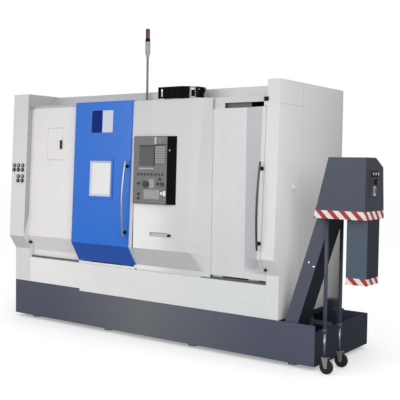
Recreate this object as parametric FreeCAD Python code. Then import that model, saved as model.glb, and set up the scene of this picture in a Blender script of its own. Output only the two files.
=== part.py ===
"""CNC turning lathe with a slant bed, a sliding front door, a sliding control pulpit and a chip conveyor.

Working coordinates, in millimetres: x runs to the right from the left end of the plinth, y runs back from the
plinth's front face and z runs up from the floor. The finished solids are set with the middle of the front left
foot's underside at the origin.
"""

import FreeCAD, Part
import math
import os

Vector = FreeCAD.Vector
X_AXIS = Vector(1, 0, 0)
Y_AXIS = Vector(0, 1, 0)
Z_AXIS = Vector(0, 0, 1)

# ---------------------------------------------------------------- driving dimensions
# white housing
housing_length = 3168.0
housing_height = 2307.0
left_column = 219.0
right_column = 120.0
skin = 6.0
top_front_y = -25.0
bend_front_y = -86.0
bend_high = 854.0
bend_low = 721.0
apron_top = 635.0
fascia_y = 335.0
roof_drop = 10.0
shelf_drop = 122.0
header_fall = 50.0
header_y = 30.0

# plinth, which is also the chip and coolant tank
tank_reach = 332.0
base_depth = 1123.0
tank_end_setback = 101.0
foot_height = 35.0
plinth_top_left = 385.0
plinth_top_right = 361.0
plinth_step_reach = 31.0
tank_rim = 312.0
plate = 8.0
foot_radius = 45.0
foot_thread = 13.5
foot_shares = (0.06, 0.35, 0.64, 0.93)
foot_setback = 112.0
bar_y = 285.0
bar_width = 30.0

# running gaps
slide_gap = 0.3
door_gap = 4.0
pulpit_gap = 5.0

# what each front panel takes of the opening between the columns
panel_share = 682.0
door_share = 721.0
pulpit_share = 829.0
cover_share = 558.0

# left fixed panel and its access door
panel_recess = 55.0
panel_fall = 147.0
panel_rise_low = 33.0
panel_lap = 40.0
access_inset = 244.0
access_width = 216.0
access_fall = 521.0
access_height = 319.0
access_wall = 4.0
leaf_gap = 2.0
hinge_radius = 4.0
hinge_reach = 3.0
hinge_length = 32.0
latch_width = 24.0
latch_height = 88.0
latch_rise = 6.0
label_inset = 335.0
label_width = 73.0
label_low = 1370.0
label_height = 28.0

# blue sliding door
door_lap = 8.0
door_thickness = 40.0
door_low_y = 20.0
door_bend_drop = 7.0
door_low_drop = 56.0
seal_width = 34.0
seal_recess = 14.0
seal_depth = 10.0
window_inset = 211.0
window_width = 288.0
window_rise = 447.0
window_height = 349.0
window_frame = 14.0
runner_length = 100.0
runner_inset = 60.0

# bowed pull handles
handle_rise = 71.0
handle_length = 720.0
handle_radius = 9.0
handle_end_reach = 30.0
handle_mid_reach = 60.0
handle_post_inset = 57.0
handle_foot_radius = 17.0
handle_foot_height = 5.0
handle_inset = 34.0

# control pulpit
pulpit_back_y = 10.0
pulpit_fall = 2.0
pulpit_bend_drop = 8.0
pulpit_low_drop = 36.0
pulpit_top_front = -30.0
pulpit_bend_front = -56.0
pulpit_top_taper = 58.0
pulpit_bend_taper = 172.0
pulpit_low_taper = 121.0
grip_inset = 194.0
grip_length = 205.0
grip_low = 963.0
grip_height = 38.0
grip_depth = 14.0
clamp_inset = 425.0
clamp_radius = 12.0
knob_cap_share = 0.35
knob_cap_rise = 1.5
stem_sink = 8.0
clamp_reach = 22.0

# control face
console_inset = 12.0
console_width = 387.0
console_low = 1255.0
console_height = 604.0
console_rise = 25.0
cheek_width = 84.0
cheek_step = 12.0
cheek_edge = 4.0
screen_inset = 72.0
screen_width = 160.0
screen_rise = 343.0
screen_height = 170.0
screen_lift = 4.0
key_lift = 3.0
softkey_size = (22.0, 12.0)
softkey_pitch = 28.0
softkey_drop = 21.0
letter_inset = 253.0
letter_rise = 513.0
letter_size = (16.0, 16.0)
letter_pitch = 22.0
panel_key_inset = 43.0
panel_key_rise = 275.0
panel_key_size = (26.0, 22.0)
panel_key_pitch = 40.0
mode_key_inset = 132.0
mode_key_rise = 121.0
mode_key_size = (22.0, 14.0)
mode_key_pitch = (29.0, 19.0)
wheel_inset = 153.0
wheel_rise = 177.0
handwheel_radius = 34.0
handwheel_depth = 16.0
grip_offset = 20.0
grip_radius = 5.0
override_inset = 343.0
override_rise = 182.0
override_radius = 19.0
override_reach = 18.0
start_inset = 335.0
start_rise = 97.0
start_radius = 13.0
start_depth = 8.0
control_gap = 0.3
button_gap = 4.0

# right sliding door
right_door_y = 16.0
right_door_thickness = 20.0
right_door_lap = 50.0
right_door_fall = 45.0
fold_inset = 221.0
stile_inset = 40.0
right_handle_inset = 23.0
slot_cover = 159.0
hanger_depth = 20.0
hanger_height = 30.0

# vents in the back sheet
vent_inset = 150.0
vent_right_inset = 408.0
vent_rows = 6
vent_low = 1300.0
vent_pitch = 45.0
vent_length = 260.0

# door rails and rubber stops
rail_rise = 20.0
pulpit_rail_rise = 10.0
rail_y = 26.0
rail_width = 12.0
bumper_radius = 13.0
bumper_length = 26.0
bumper_rise = 71.0
bumper_header_rise = 15.0
bumper_panel_rise = 12.0

# gauges on the left column
gauge_z = 1556.0
gauge_row_drop = 112.0
gauge_x = 40.0
gauge_pitch = 64.0
gauge_radius = 21.0
gauge_depth = 10.0
regulator_radius = 18.0
regulator_depth = 18.0
gauge_half_pitch = 22.0

# joints and fittings on the right side wall
side_seam = 2.5
side_seam_depth = 1.5
side_seam_drop = 200.0
side_fold_y = 352.0
side_knob_y = 214.0
side_knob_z = 1431.0
side_knob_radius = 15.0
side_knob_depth = 14.0

# slant bed: a slope at 45 degrees that starts at (bed_foot_y, bed_foot_z)
bed_inset = 201.0
bed_end_inset = 68.0
bed_front_y = 252.0
bed_back_gap = 123.0
bed_ledge = 180.0
bed_bottom = 43.0
bed_foot_y = 260.0
bed_foot_z = 560.0
way_width = 45.0
way_height = 40.0
low_way = 100.0
high_way_drop = 152.0

# spindle line
spindle_y = 400.0
spindle_z = 1060.0
spindle_radius = 60.0
spindle_bore = 38.0
spindle_inset = 121.0
headstock_length = 520.0
headstock_half = 165.0
nose_length = 60.0
chuck_radius = 127.0
chuck_length = 115.0
chuck_bore = 40.0
jaw_inner = 50.0
jaw_length = 66.0
jaw_width = 36.0
jaw_depth = 42.0
jaw_key = 11.0
belt_width = 44.0
belt_inset = 6.0
spindle_pulley_radius = 120.0
motor_pulley_radius = 80.0
motor_back_gap = 240.0
motor_rise = 270.0
motor_radius = 125.0
motor_length = 340.0
motor_shaft_radius = 20.0
motor_foot_inset = 30.0
motor_foot_depth = 160.0
motor_foot_edge = 10.0
motor_foot_height = 20.0
motor_rib_inset = 60.0
splash_back = 50.0
splash_bore = 150.0

# carriage, cross slide and turret
carriage_start = 330.0
carriage_length = 370.0
carriage_thickness = 60.0
screw_radius = 13.0
screw_lift = 24.0
nut_radius = 27.0
nut_length = 100.0
cross_way_height = 25.0
cross_way_width = 30.0
cross_way_inset = 40.0
cross_slab = 35.0
cross_setback = 40.0
cross_length = 270.0
turret_rise = 120.0
turret_radius = 140.0
turret_thickness = 90.0
turret_stations = 12
turret_gap = 20.0
turret_shaft_radius = 45.0
tool_reach = 58.0
tool_bore = 12.5

# tailstock
tailstock_back = 530.0
tailstock_length = 330.0
tailstock_half = 90.0
quill_radius = 45.0
quill_reach = 90.0
centre_radius = 22.0
centre_length = 60.0

# chip conveyor
conveyor_y = 20.0
conveyor_width = 222.0
conveyor_inset = 100.0
conveyor_bottom = 60.0
conveyor_thickness = 114.0
conveyor_angle = 72.3
conveyor_foot_back = 258.0
conveyor_wall = 4.0
belt_thickness = 8.0
belt_clearance = 12.0
cleat_height = 22.0
cleat_spacing = 190.0
bolt_radius = 11.0
bolt_height = 5.0
bolt_rise = 687.0
bolt_spread = 57.0

# discharge hood, chute and legs
hood_back = 7.0
hood_length = 422.0
hood_low = 1215.0
hood_height = 468.0
hood_slant = 116.0
hood_front_y = -50.0
hood_back_y = 312.0
hood_ridge_y = 135.0
hood_shoulder_y = 280.0
hood_shoulder_drop = 73.0
hood_wall = 5.0
head_rise = 237.0
head_shaft_radius = 14.0
head_shaft_rise = 20.0
panel_rise = 6.0
panel_front_y = 32.0
panel_back_y = 180.0
panel_drop = 83.0
panel_height = 215.0
stop_y = 128.0
stop_rise = 285.0
stop_radius = 21.0
stop_depth = 16.0
lamp_button_radius = 14.0
lamp_button_depth = 9.0
lamp_button_pitch = 46.0
lamp_button_drop = 40.0
switch_drop = 162.0
switch_radius = 18.0
switch_depth = 14.0
chute_back = 174.0
chute_drop = 501.0
leg_reach = 86.0
leg_spread = 266.0
leg_radius = 15.0
leg_lower_radius = 12.5
leg_step_rise = 193.0
wheel_radius = 56.0
wheel_width = 26.0
tread_chamfer = 4.0
caster_trail = 20.0
axle_radius = 5.0
stem_radius = 8.0
fork_top = 130.0

# coolant pump in the open end of the tank
pump_gap = 80.0
pump_y = 640.0
pump_width = 130.0
pump_depth = 150.0
pump_lid = 60.0
pump_motor_radius = 58.0
pump_motor_height = 86.0

# signal lamp
lamp_back = 104.0
lamp_setback = 35.0
pole_radius = 8.0
pole_height = 325.0
lamp_foot_radius = 26.0
lamp_foot_height = 10.0
lamp_radius = 31.0
lens_radius = 25.0
lamp_taper = 40.0
lamp_body = 102.0
lamp_ring = 29.0
lens_height = 94.0
lens_chamfer = 7.0

# cable chain on the pulpit
chain_rise = 9.0
chain_height = 102.0
chain_width = 30.0
chain_back_gap = 35.0
tray_overhang = 60.0
bracket_length = 70.0
chain_front_y = 0.0
chain_inset = 246.0
chain_run = 211.0
link_pitch = 62.0
link_groove = 4.0
link_groove_depth = 2.5

# electrical cabinet on the back
cabinet_right_inset = 668.0
cabinet_width = 1000.0
cabinet_depth = 340.0
cabinet_low_rise = 35.0
cabinet_fall = 177.0
cabinet_wall = 5.0
cabinet_door_thickness = 24.0
cabinet_hinge_radius = 8.0
cabinet_hinge_length = 90.0
device_size = (200.0, 300.0)
device_pitch = (280.0, 480.0)
device_inset = (110.0, 160.0)
device_depth = 150.0

# ---------------------------------------------------------------- what follows from them
# along x
base_length = housing_length + tank_reach
right_column_x = housing_length - right_column
front_fit = (right_column_x - left_column - seal_width - pulpit_gap) / (
    panel_share + door_share + pulpit_share + cover_share)
door_x = left_column + panel_share * front_fit
door_width = door_share * front_fit
door_right = door_x + door_width
plinth_step_x = door_x + plinth_step_reach
access_x = left_column + access_inset
window_x = door_x + window_inset
door_handle_x = door_right - handle_inset
pulpit_x = door_right + seal_width + pulpit_gap
pulpit_back_x = pulpit_x + pulpit_share * front_fit
pulpit_top_right = pulpit_back_x - pulpit_top_taper
pulpit_bend_right = pulpit_back_x - pulpit_bend_taper
pulpit_low_right = pulpit_back_x - pulpit_low_taper
console_x = pulpit_x + console_inset
screen_x = console_x + screen_inset
right_door_x = pulpit_back_x - right_door_lap
right_door_fold = right_column_x - fold_inset
right_door_stile = right_column_x - stile_inset
right_handle_x = right_column_x - right_handle_inset
bed_x = left_column + bed_inset
bed_length = right_column_x - bed_end_inset - bed_x
spindle_x = left_column + spindle_inset
belt_x = spindle_x + belt_inset
nose_x = bed_x + headstock_length + nose_length
splash_x = nose_x - splash_back
carriage_x = nose_x + carriage_start
tailstock_x = bed_x + bed_length - tailstock_back
conveyor_start = bed_x + conveyor_inset
conveyor_foot_x = base_length - conveyor_foot_back
hood_x = base_length - hood_back
hood_right = hood_x + hood_length
chute_x = hood_right - chute_back
leg_x = base_length + leg_reach
lamp_x = door_right - lamp_back
chain_start_x = pulpit_x + chain_inset
chain_bend_x = chain_start_x + chain_run
cabinet_x = housing_length - cabinet_right_inset - cabinet_width

# along y
tank_end_depth = base_depth - tank_end_setback
foot_stations = [base_length * share for share in foot_shares]
bed_back_y = base_depth - bed_back_gap
motor_y = bed_back_y - motor_back_gap
lamp_y = fascia_y - lamp_setback
chain_radius = (fascia_y - chain_back_gap - chain_front_y) / 2
conveyor_back_y = conveyor_y + conveyor_width
conveyor_mid_y = conveyor_y + conveyor_width / 2
front_caster_y = conveyor_mid_y - leg_spread / 2
rear_caster_y = conveyor_mid_y + leg_spread / 2

# along z
roof_top = housing_height - roof_drop
shelf_top = housing_height - shelf_drop
header_low = shelf_top - header_fall
panel_top = housing_height - panel_fall
panel_low = apron_top + panel_rise_low
access_low = panel_top - access_fall
door_top = shelf_top + door_lap
door_bend = bend_high - door_bend_drop
door_low = bend_low - door_low_drop
window_low = door_bend + window_rise
handle_low = bend_high + handle_rise
handle_high = handle_low + handle_length
pulpit_top = shelf_top - pulpit_fall
pulpit_bend = bend_high - pulpit_bend_drop
pulpit_low = bend_low - pulpit_low_drop
screen_low = console_low + screen_rise
right_door_top = header_low - right_door_fall
rail_top = apron_top + rail_rise
pulpit_rail_top = apron_top + pulpit_rail_rise
chain_low = shelf_top + chain_rise
tray_top = chain_low - slide_gap
pole_top = housing_height + pole_height
lamp_collar_z = pole_top + lamp_taper
lamp_ring_z = lamp_collar_z + lamp_body
lens_low = lamp_ring_z + lamp_ring
lens_high = lens_low + lens_height
cabinet_low = plinth_top_left + cabinet_low_rise
cabinet_high = roof_top - cabinet_fall
conveyor_top = conveyor_bottom + conveyor_thickness
conveyor_head_z = hood_low + head_rise
hood_high = hood_low + hood_height
hood_shoulder_z = hood_high - hood_shoulder_drop
stop_z = hood_low + stop_rise
chute_low = hood_low - chute_drop

# the bed's slope and the spindle's place on it
slope_length = (bed_back_y - bed_ledge - bed_foot_y) * math.sqrt(2.0)
high_way = slope_length - high_way_drop
screw_across = (low_way + high_way) / 2
cross_start = high_way - cross_setback
turret_across = high_way + turret_rise
motor_z = bed_foot_z + slope_length * math.sqrt(0.5) + motor_rise

front_slope = (top_front_y - bend_front_y) / (housing_height - bend_high)
front_lean = math.degrees(math.atan(front_slope))
front_normal = Vector(0, -1, front_slope)
pulpit_slope = (pulpit_top_front - pulpit_bend_front) / (pulpit_top - pulpit_bend)
pulpit_normal = Vector(0, -1, pulpit_slope)
conveyor_rise = math.tan(math.radians(conveyor_angle))


# ---------------------------------------------------------------- shape helpers
def block(x0, x1, y0, y1, z0, z1):
    """A box between two corners."""
    return Part.makeBox(x1 - x0, y1 - y0, z1 - z0, Vector(x0, y0, z0))


def polygon_face(points):
    """A flat face through a ring of points."""
    return Part.Face(Part.makePolygon(points + [points[0]]))


def prism_x(outline, x0, x1):
    """A (y, z) outline drawn out along x."""
    ring = [Vector(x0, y, z) for y, z in outline]
    return polygon_face(ring).extrude(Vector(x1 - x0, 0, 0))


def prism_y(outline, y0, y1):
    """An (x, z) outline drawn out along y."""
    ring = [Vector(x, y0, z) for x, z in outline]
    return polygon_face(ring).extrude(Vector(0, y1 - y0, 0))


def rod(x, y, z, axis, radius, length):
    """A cylinder from one end's centre."""
    return Part.makeCylinder(radius, length, Vector(x, y, z), axis)


def ring_points(centre, along, radius, sides):
    """The corners of a many-sided ring, square to a direction."""
    side = along.cross(Z_AXIS) if abs(along.z) < 0.9 else Vector(X_AXIS)
    side.normalize()
    up = along.cross(side)
    ring = []
    for index in range(sides):
        angle = 2 * math.pi * index / sides
        ring.append(centre + side * (radius * math.cos(angle)) + up * (radius * math.sin(angle)))
    return ring


def faceted_rod(x, y, z, axis, radius, length, sides=20):
    """A many-sided rod, for turned parts."""
    along = Vector(axis).normalize()
    return polygon_face(ring_points(Vector(x, y, z), along, radius, sides)).extrude(along * length)


def skinned(rings):
    """A solid with flat sides through rings of corners, closed by flat ends."""
    faces = [polygon_face(rings[0]), polygon_face(rings[-1])]
    for low, high in zip(rings, rings[1:]):
        for index in range(len(low)):
            after = (index + 1) % len(low)
            faces.append(polygon_face([low[index], low[after], high[after], high[index]]))
    shell = Part.makeShell(faces)
    shell.sewShape()
    solid = Part.makeSolid(shell)
    return solid if solid.Volume > 0 else solid.reversed()


def turned(x, y, z, axis, stations, sides):
    """A many-sided turned solid through (distance along the axis, radius) stations."""
    along = Vector(axis).normalize()
    start = Vector(x, y, z)
    return skinned([ring_points(start + along * distance, along, radius, sides) for distance, radius in stations])


def union(shapes):
    """One solid out of shapes that touch or overlap."""
    return shapes[0].multiFuse(shapes[1:]).removeSplitter()


def group(shapes):
    """Separate solids that share a node."""
    return Part.makeCompound(shapes)


def offset_path(points, distance):
    """A (y, z) path that runs downwards, moved towards the back by a distance, with mitred corners."""
    moved = []
    count = len(points)
    normals = []
    for (y0, z0), (y1, z1) in zip(points, points[1:]):
        length = math.hypot(y1 - y0, z1 - z0)
        normals.append((-(z1 - z0) / length, (y1 - y0) / length))
    for index, (y, z) in enumerate(points):
        before = normals[max(index - 1, 0)]
        after = normals[min(index, count - 2)]
        stretch = distance / (1 + before[0] * after[0] + before[1] * after[1])
        moved.append((y + (before[0] + after[0]) * stretch, z + (before[1] + after[1]) * stretch))
    return moved


def trim_path(points, distance):
    """The path with both ends pulled in along its first and last stretch."""
    def pulled(end, towards):
        length = math.hypot(towards[0] - end[0], towards[1] - end[1])
        share = distance / length
        return (end[0] + (towards[0] - end[0]) * share, end[1] + (towards[1] - end[1]) * share)
    return [pulled(points[0], points[1])] + points[1:-1] + [pulled(points[-1], points[-2])]


def sheet_x(path, thickness, x0, x1):
    """Bent sheet that follows a (y, z) path."""
    return prism_x(path + offset_path(path, thickness)[::-1], x0, x1)


def pan_x(path, thickness, x0, x1):
    """A bent door pan: a front skin with a return flange on all four sides, open at the back."""
    inside = trim_path(offset_path(path, skin), skin)
    outside = trim_path(offset_path(path, thickness + 5.0), skin)
    pocket = prism_x(inside + outside[::-1], x0 + skin, x1 - skin)
    return sheet_x(path, thickness, x0, x1).cut(pocket)


def loft_z(sections):
    """Ruled solid through level outlines, each given as (z, [(x, y), ...])."""
    pieces = []
    for (z0, low), (z1, high) in zip(sections, sections[1:]):
        rings = []
        for z, outline in ((z0, low), (z1, high)):
            ring = [Vector(x, y, z) for x, y in outline]
            rings.append(Part.makePolygon(ring + [ring[0]]))
        pieces.append(Part.makeLoft(rings, True, True))
    return union(pieces)


def front_y(z, recess=0.0):
    """Where the leaning front face lies at a height above the bend."""
    return bend_front_y + recess + (z - bend_high) * front_slope


def slope_point(across, lift):
    """The (y, z) place at a distance up the bed's slope and a height above it."""
    c = math.sqrt(0.5)
    return (bed_foot_y + (across - lift) * c, bed_foot_z + (across + lift) * c)


def slope_block(x0, x1, across0, across1, lift0, lift1):
    """A box that lies on the bed's slope."""
    corners = [(across0, lift0), (across1, lift0), (across1, lift1), (across0, lift1)]
    return prism_x([slope_point(a, h) for a, h in corners], x0, x1)


def slope_place(y, z):
    """The opposite of slope_point."""
    c = math.sqrt(0.5)
    return ((y - bed_foot_y + z - bed_foot_z) * c, (z - bed_foot_z - y + bed_foot_y) * c)


spindle_across, spindle_lift = slope_place(spindle_y, spindle_z)


# ---------------------------------------------------------------- plinth
def base_tank():
    outline = [
        (0, foot_height),
        (base_length, foot_height),
        (base_length, plinth_top_right),
        (plinth_step_x, plinth_top_right),
        (plinth_step_x, plinth_top_left),
        (0, plinth_top_left),
    ]
    front = prism_y(outline, 0, plate)
    floor = block(0, base_length, 0, tank_end_depth, foot_height, foot_height + plate)
    rear_floor = block(0, housing_length, tank_end_depth, base_depth, foot_height, foot_height + plate)
    left = block(0, plate, 0, base_depth, foot_height, plinth_top_left)
    right = block(base_length - plate, base_length, 0, tank_end_depth, foot_height, tank_rim)
    rear = block(0, housing_length, base_depth - skin, base_depth, foot_height, plinth_top_left)
    end_rear = block(housing_length - plate, base_length, tank_end_depth - plate, tank_end_depth,
                     foot_height, tank_rim)
    corner = block(housing_length - plate, housing_length, tank_end_depth - plate, base_depth,
                   foot_height, plinth_top_right)
    sill = block(housing_length - plate, housing_length, 0, base_depth, tank_rim, plinth_top_right)
    bar = block(housing_length, base_length, bar_y, bar_y + bar_width, tank_rim, tank_rim + bar_width)
    return union([front, floor, rear_floor, left, right, rear, end_rear, corner, sill, bar])


def levelling_feet():
    feet = []
    for x in foot_stations:
        for y in (foot_setback, tank_end_depth - foot_setback):
            pad = faceted_rod(x, y, 0, Z_AXIS, foot_radius, foot_height * 0.4, 16)
            screw = faceted_rod(x, y, foot_height * 0.4, Z_AXIS, foot_thread, foot_height * 0.6, 6)
            feet.append(union([pad, screw]))
    return group(feet)


# ---------------------------------------------------------------- housing
def column_path(low):
    return [
        (front_y(housing_height), housing_height),
        (bend_front_y, bend_high),
        (0, bend_low),
        (0, low),
    ]


def end_housing(x0, x1, low, wall_on_left):
    """A column with its side wall and top: bent sheet, open below, behind and inside past the fascia."""
    path = column_path(low)
    back = base_depth - skin
    outline = path + [(back, low), (back, housing_height)]
    inside = offset_path(path, skin)
    inner = [(inside[0][0], housing_height - skin)] + inside[1:-1] + [(inside[-1][0], low - 1)]
    inner += [(back + 1, low - 1), (back + 1, housing_height - skin)]
    shell = prism_x(outline, x0, x1).cut(prism_x(inner, x0 + skin, x1 - skin))
    if wall_on_left:
        opening = block(x1 - skin - 1, x1 + 1, fascia_y + skin, back + 1, low - 1, housing_height - skin)
    else:
        opening = block(x0 - 1, x0 + skin + 1, fascia_y + skin, back + 1, low - 1, housing_height - skin)
    return shell.cut(opening)


def left_housing():
    shell = end_housing(0, left_column, plinth_top_left, True)
    bar_hole = rod(-1, spindle_y, spindle_z, X_AXIS, spindle_bore + 20.0, left_column + 2)
    return shell.cut(bar_hole)


def right_housing():
    """The right column and side wall, with the seams of its panels and the knob of its lock."""
    shell = end_housing(right_column_x, housing_length, plinth_top_right, False)
    face = housing_length - side_seam_depth
    z = housing_height - side_seam_drop
    level_seam = block(face, housing_length + 1, bend_front_y, side_fold_y, z, z + side_seam)
    upright_seam = block(face, housing_length + 1, side_fold_y, side_fold_y + side_seam,
                         plinth_top_right + 20.0, roof_top)
    knob = rod(housing_length - 1, side_knob_y, side_knob_z, X_AXIS, side_knob_radius, side_knob_depth + 1)
    return union([shell.cut([level_seam, upright_seam]), knob])


def left_panel():
    path = [
        (front_y(panel_top, panel_recess), panel_top),
        (bend_front_y + panel_recess, bend_high + 8.0),
        (panel_recess, bend_low - 8.0),
        (panel_recess, panel_low),
    ]
    panel = sheet_x(path, skin, left_column, door_x + panel_lap)
    hole = block(access_x, access_x + access_width, -100, 100, access_low, access_low + access_height)
    foot = block(left_column, door_x + panel_lap, panel_recess, panel_recess + skin, apron_top, panel_low)
    x = left_column + label_inset
    y0 = front_y(label_low, panel_recess)
    y1 = front_y(label_low + label_height, panel_recess)
    outline = [(y0 - 1.0, label_low), (y1 - 1.0, label_low + label_height), (y1 + 1.0, label_low + label_height),
               (y0 + 1.0, label_low)]
    return union([panel.cut(hole), foot, prism_x(outline, x, x + label_width)])


def access_door():
    """The leaf with its two hinge barrels and a flat latch."""
    low = access_low + leaf_gap
    high = access_low + access_height - leaf_gap
    x1 = access_x + access_width - leaf_gap
    leaf = sheet_x([(front_y(high, panel_recess), high), (front_y(low, panel_recess), low)], access_wall,
                   access_x + leaf_gap, x1)
    pieces = [leaf]
    for share in (0.2, 0.8):
        z = low + access_height * share
        y = front_y(z, panel_recess) - hinge_reach
        pieces.append(rod(access_x + hinge_reach, y, z, Vector(0, front_slope, 1), hinge_radius,
                          hinge_length))
    z = access_low + access_height * 0.48
    x = access_x + access_width * 0.76
    y = front_y(z, panel_recess)
    latch = block(x, x + latch_width, y - latch_rise, y + 1.0, z - latch_height / 2, z + latch_height / 2)
    latch.rotate(Vector(x, y, z), X_AXIS, -front_lean)
    return union(pieces + [latch])


def front_apron():
    outline = [
        (left_column, plinth_top_left),
        (plinth_step_x, plinth_top_left),
        (plinth_step_x, plinth_top_right),
        (right_column_x, plinth_top_right),
        (right_column_x, apron_top),
        (left_column, apron_top),
    ]
    face = prism_y(outline, 0, skin)
    flange = block(left_column, right_column_x, 0, panel_recess + skin, apron_top - skin, apron_top)
    return union([face, flange])


def roof_cover():
    """Roof, fascia, shelf and back sheet, with the chain's tray on the shelf and the header over the doors."""
    x0 = left_column
    x1 = right_column_x
    back = base_depth - skin
    roof = block(x0, x1, fascia_y, back, roof_top - skin, roof_top)
    fascia = block(x0, x1, fascia_y, fascia_y + skin, shelf_top - skin, roof_top)
    shelf = block(x0, x1, header_y, fascia_y + skin, shelf_top - skin, shelf_top)
    lip = block(x0, x1, header_y, header_y + skin, header_low, shelf_top)
    rear = block(0, housing_length, back, base_depth, plinth_top_left, roof_top)
    vents = []
    for x in (vent_inset, housing_length - vent_right_inset):
        for row in range(vent_rows):
            z = vent_low + row * vent_pitch
            vents.append(block(x, x + vent_length, back - 1, base_depth + 1, z, z + vent_pitch * 0.3))
    tray = block(chain_start_x - bracket_length, chain_bend_x + chain_radius + tray_overhang, header_y, fascia_y,
                 shelf_top, tray_top)
    back_run_y = chain_front_y + 2 * chain_radius - chain_width / 2
    bracket = block(chain_start_x - bracket_length, chain_start_x - slide_gap, back_run_y, fascia_y, shelf_top,
                    chain_low + chain_height * 0.7)
    slot_end = block(right_door_x - 60.0, right_door_x + slot_cover, header_y, header_y + skin,
                     right_door_top + slide_gap, header_low)
    return union([roof, fascia, shelf, lip, rear, tray, bracket, slot_end]).cut(vents)


def door_rails():
    lower = block(left_column, right_column_x, rail_y, rail_y + rail_width, apron_top, rail_top)
    front = block(pulpit_x - 20.0, right_column_x, 2.0, 10.0, apron_top, pulpit_rail_top)
    guide_y = right_door_y + right_door_thickness + hanger_depth
    upper = block(right_door_x, right_column_x - 2 * runner_length, guide_y, guide_y + skin,
                  right_door_top - hanger_height, shelf_top - skin)
    return group([lower, front, upper])


def door_bumpers():
    """Rubber stops: two at the left column, one under the header's right end and one on the right column."""
    left_low = faceted_rod(left_column, -8.0, bend_low + bumper_rise, X_AXIS, bumper_radius, bumper_length)
    left_high = faceted_rod(left_column, 2.0, panel_top + bumper_panel_rise, X_AXIS, bumper_radius, bumper_length)
    right_high = faceted_rod(right_column_x, 12.0, header_low + bumper_header_rise, Vector(-1, 0, 0), bumper_radius,
                             bumper_length)
    fall = bend_high - bend_low
    z = bend_low + fall * 0.36
    outward = Vector(0, -fall, bend_front_y)
    right_low = faceted_rod(right_column_x + bumper_radius + 2.0, bend_front_y * 0.36, z, outward, bumper_radius,
                            bumper_length / 2)
    return group([left_low, left_high, right_low, right_high])


def gauge_cluster():
    """Five pairs of a pressure gauge over a round regulator knob on the left column."""
    pieces = []
    for z, columns in ((gauge_z, (0, 1, 2)), (gauge_z - gauge_row_drop, (1, 2))):
        for column in columns:
            x = gauge_x + column * gauge_pitch
            high = z + gauge_half_pitch
            low = z - gauge_half_pitch
            pieces.append(faceted_rod(x, front_y(high), high, front_normal, gauge_radius, gauge_depth, 24))
            pieces.append(faceted_rod(x, front_y(low), low, front_normal, regulator_radius, regulator_depth, 24))
    return group(pieces)


# ---------------------------------------------------------------- sliding doors and pulpit
def bowed_handle(x):
    """A round bar bent into one long arc, on two posts with round feet."""
    middle = (handle_low + handle_high) / 2
    half = (handle_high - handle_low) / 2

    def reach_at(z):
        share = (z - middle) / half
        return handle_mid_reach - (handle_mid_reach - handle_end_reach) * share * share

    rings = []
    stations = 10
    sides = 12
    for station in range(stations + 1):
        z = handle_low + (handle_high - handle_low) * station / stations
        y = front_y(z) - reach_at(z)
        ring = []
        for index in range(sides):
            angle = 2 * math.pi * index / sides
            ring.append(Vector(x + handle_radius * math.cos(angle), y + handle_radius * math.sin(angle), z))
        rings.append(ring)
    pieces = [skinned(rings)]
    for z in (handle_low + handle_post_inset, handle_high - handle_post_inset):
        pieces.append(faceted_rod(x, front_y(z), z, front_normal, handle_radius * 0.9, reach_at(z), 16))
        pieces.append(faceted_rod(x, front_y(z), z, front_normal, handle_foot_radius, handle_foot_height, 20))
    return union(pieces)


def blue_door():
    path = [(front_y(door_top), door_top), (front_y(door_bend), door_bend), (door_low_y, door_low)]
    pan = pan_x(path, door_thickness, door_x, door_right)
    clear = block(door_x - 1, door_right + 1, panel_recess - 10.0, 200, 600, 760)
    pan = pan.cut(clear)
    hole = block(window_x, window_x + window_width, -200, 100, window_low, window_low + window_height)
    pan = pan.cut(hole)
    runners = []
    for x in (door_x + runner_inset, door_right - runner_inset - runner_length):
        runners.append(block(x, x + runner_length, rail_y, rail_y + rail_width, rail_top + slide_gap, door_low + 22.0))
    hanger = block(door_x + skin, door_right - skin, 0, header_y + 24.0, shelf_top + slide_gap,
                   shelf_top + slide_gap + 5.0)
    return union([pan, hanger] + runners)


def door_trim():
    """The white strip down the door's right edge and the frame that grips the window pane."""
    path = [
        (front_y(door_top - 10.0, seal_recess), door_top - 10.0),
        (front_y(door_bend, seal_recess), door_bend),
        (door_low_y + seal_recess, door_low + 12.0),
    ]
    strip = sheet_x(path, seal_depth, door_right, door_right + seal_width)

    def ring(outer, front, back):
        low = window_low - outer
        high = window_low + window_height + outer
        outline = [(front_y(low) + front, low), (front_y(high) + front, high),
                   (front_y(high) + back, high), (front_y(low) + back, low)]
        slab = prism_x(outline, window_x - outer, window_x + window_width + outer)
        inner = window_frame * 0.5
        return slab.cut(block(window_x + inner, window_x + window_width - inner, -200, 100, window_low + inner,
                              window_low + window_height - inner))

    return group([strip, union([ring(window_frame, -5.0, 0.0), ring(0.0, 0.0, 24.0)])])


def window_glass():
    inset = window_frame * 0.5
    low = window_low + inset
    high = window_low + window_height - inset
    outline = [(front_y(low) + 6.0, low), (front_y(high) + 6.0, high),
               (front_y(high) + 14.0, high), (front_y(low) + 14.0, low)]
    return prism_x(outline, window_x + inset, window_x + window_width - inset)


def pulpit_outline(front, right, inset=0.0, back=0.0):
    return [
        (pulpit_x + inset, front + inset),
        (right - inset * 0.6, front + inset),
        (pulpit_back_x - inset * 2.5, pulpit_back_y + back),
        (pulpit_x + inset, pulpit_back_y + back),
    ]


def pulpit_front(z):
    return pulpit_bend_front + (z - pulpit_bend) * pulpit_slope


def pulpit_right(z):
    share = (z - pulpit_bend) / (pulpit_top - pulpit_bend)
    return pulpit_bend_right + (pulpit_top_right - pulpit_bend_right) * share


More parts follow.
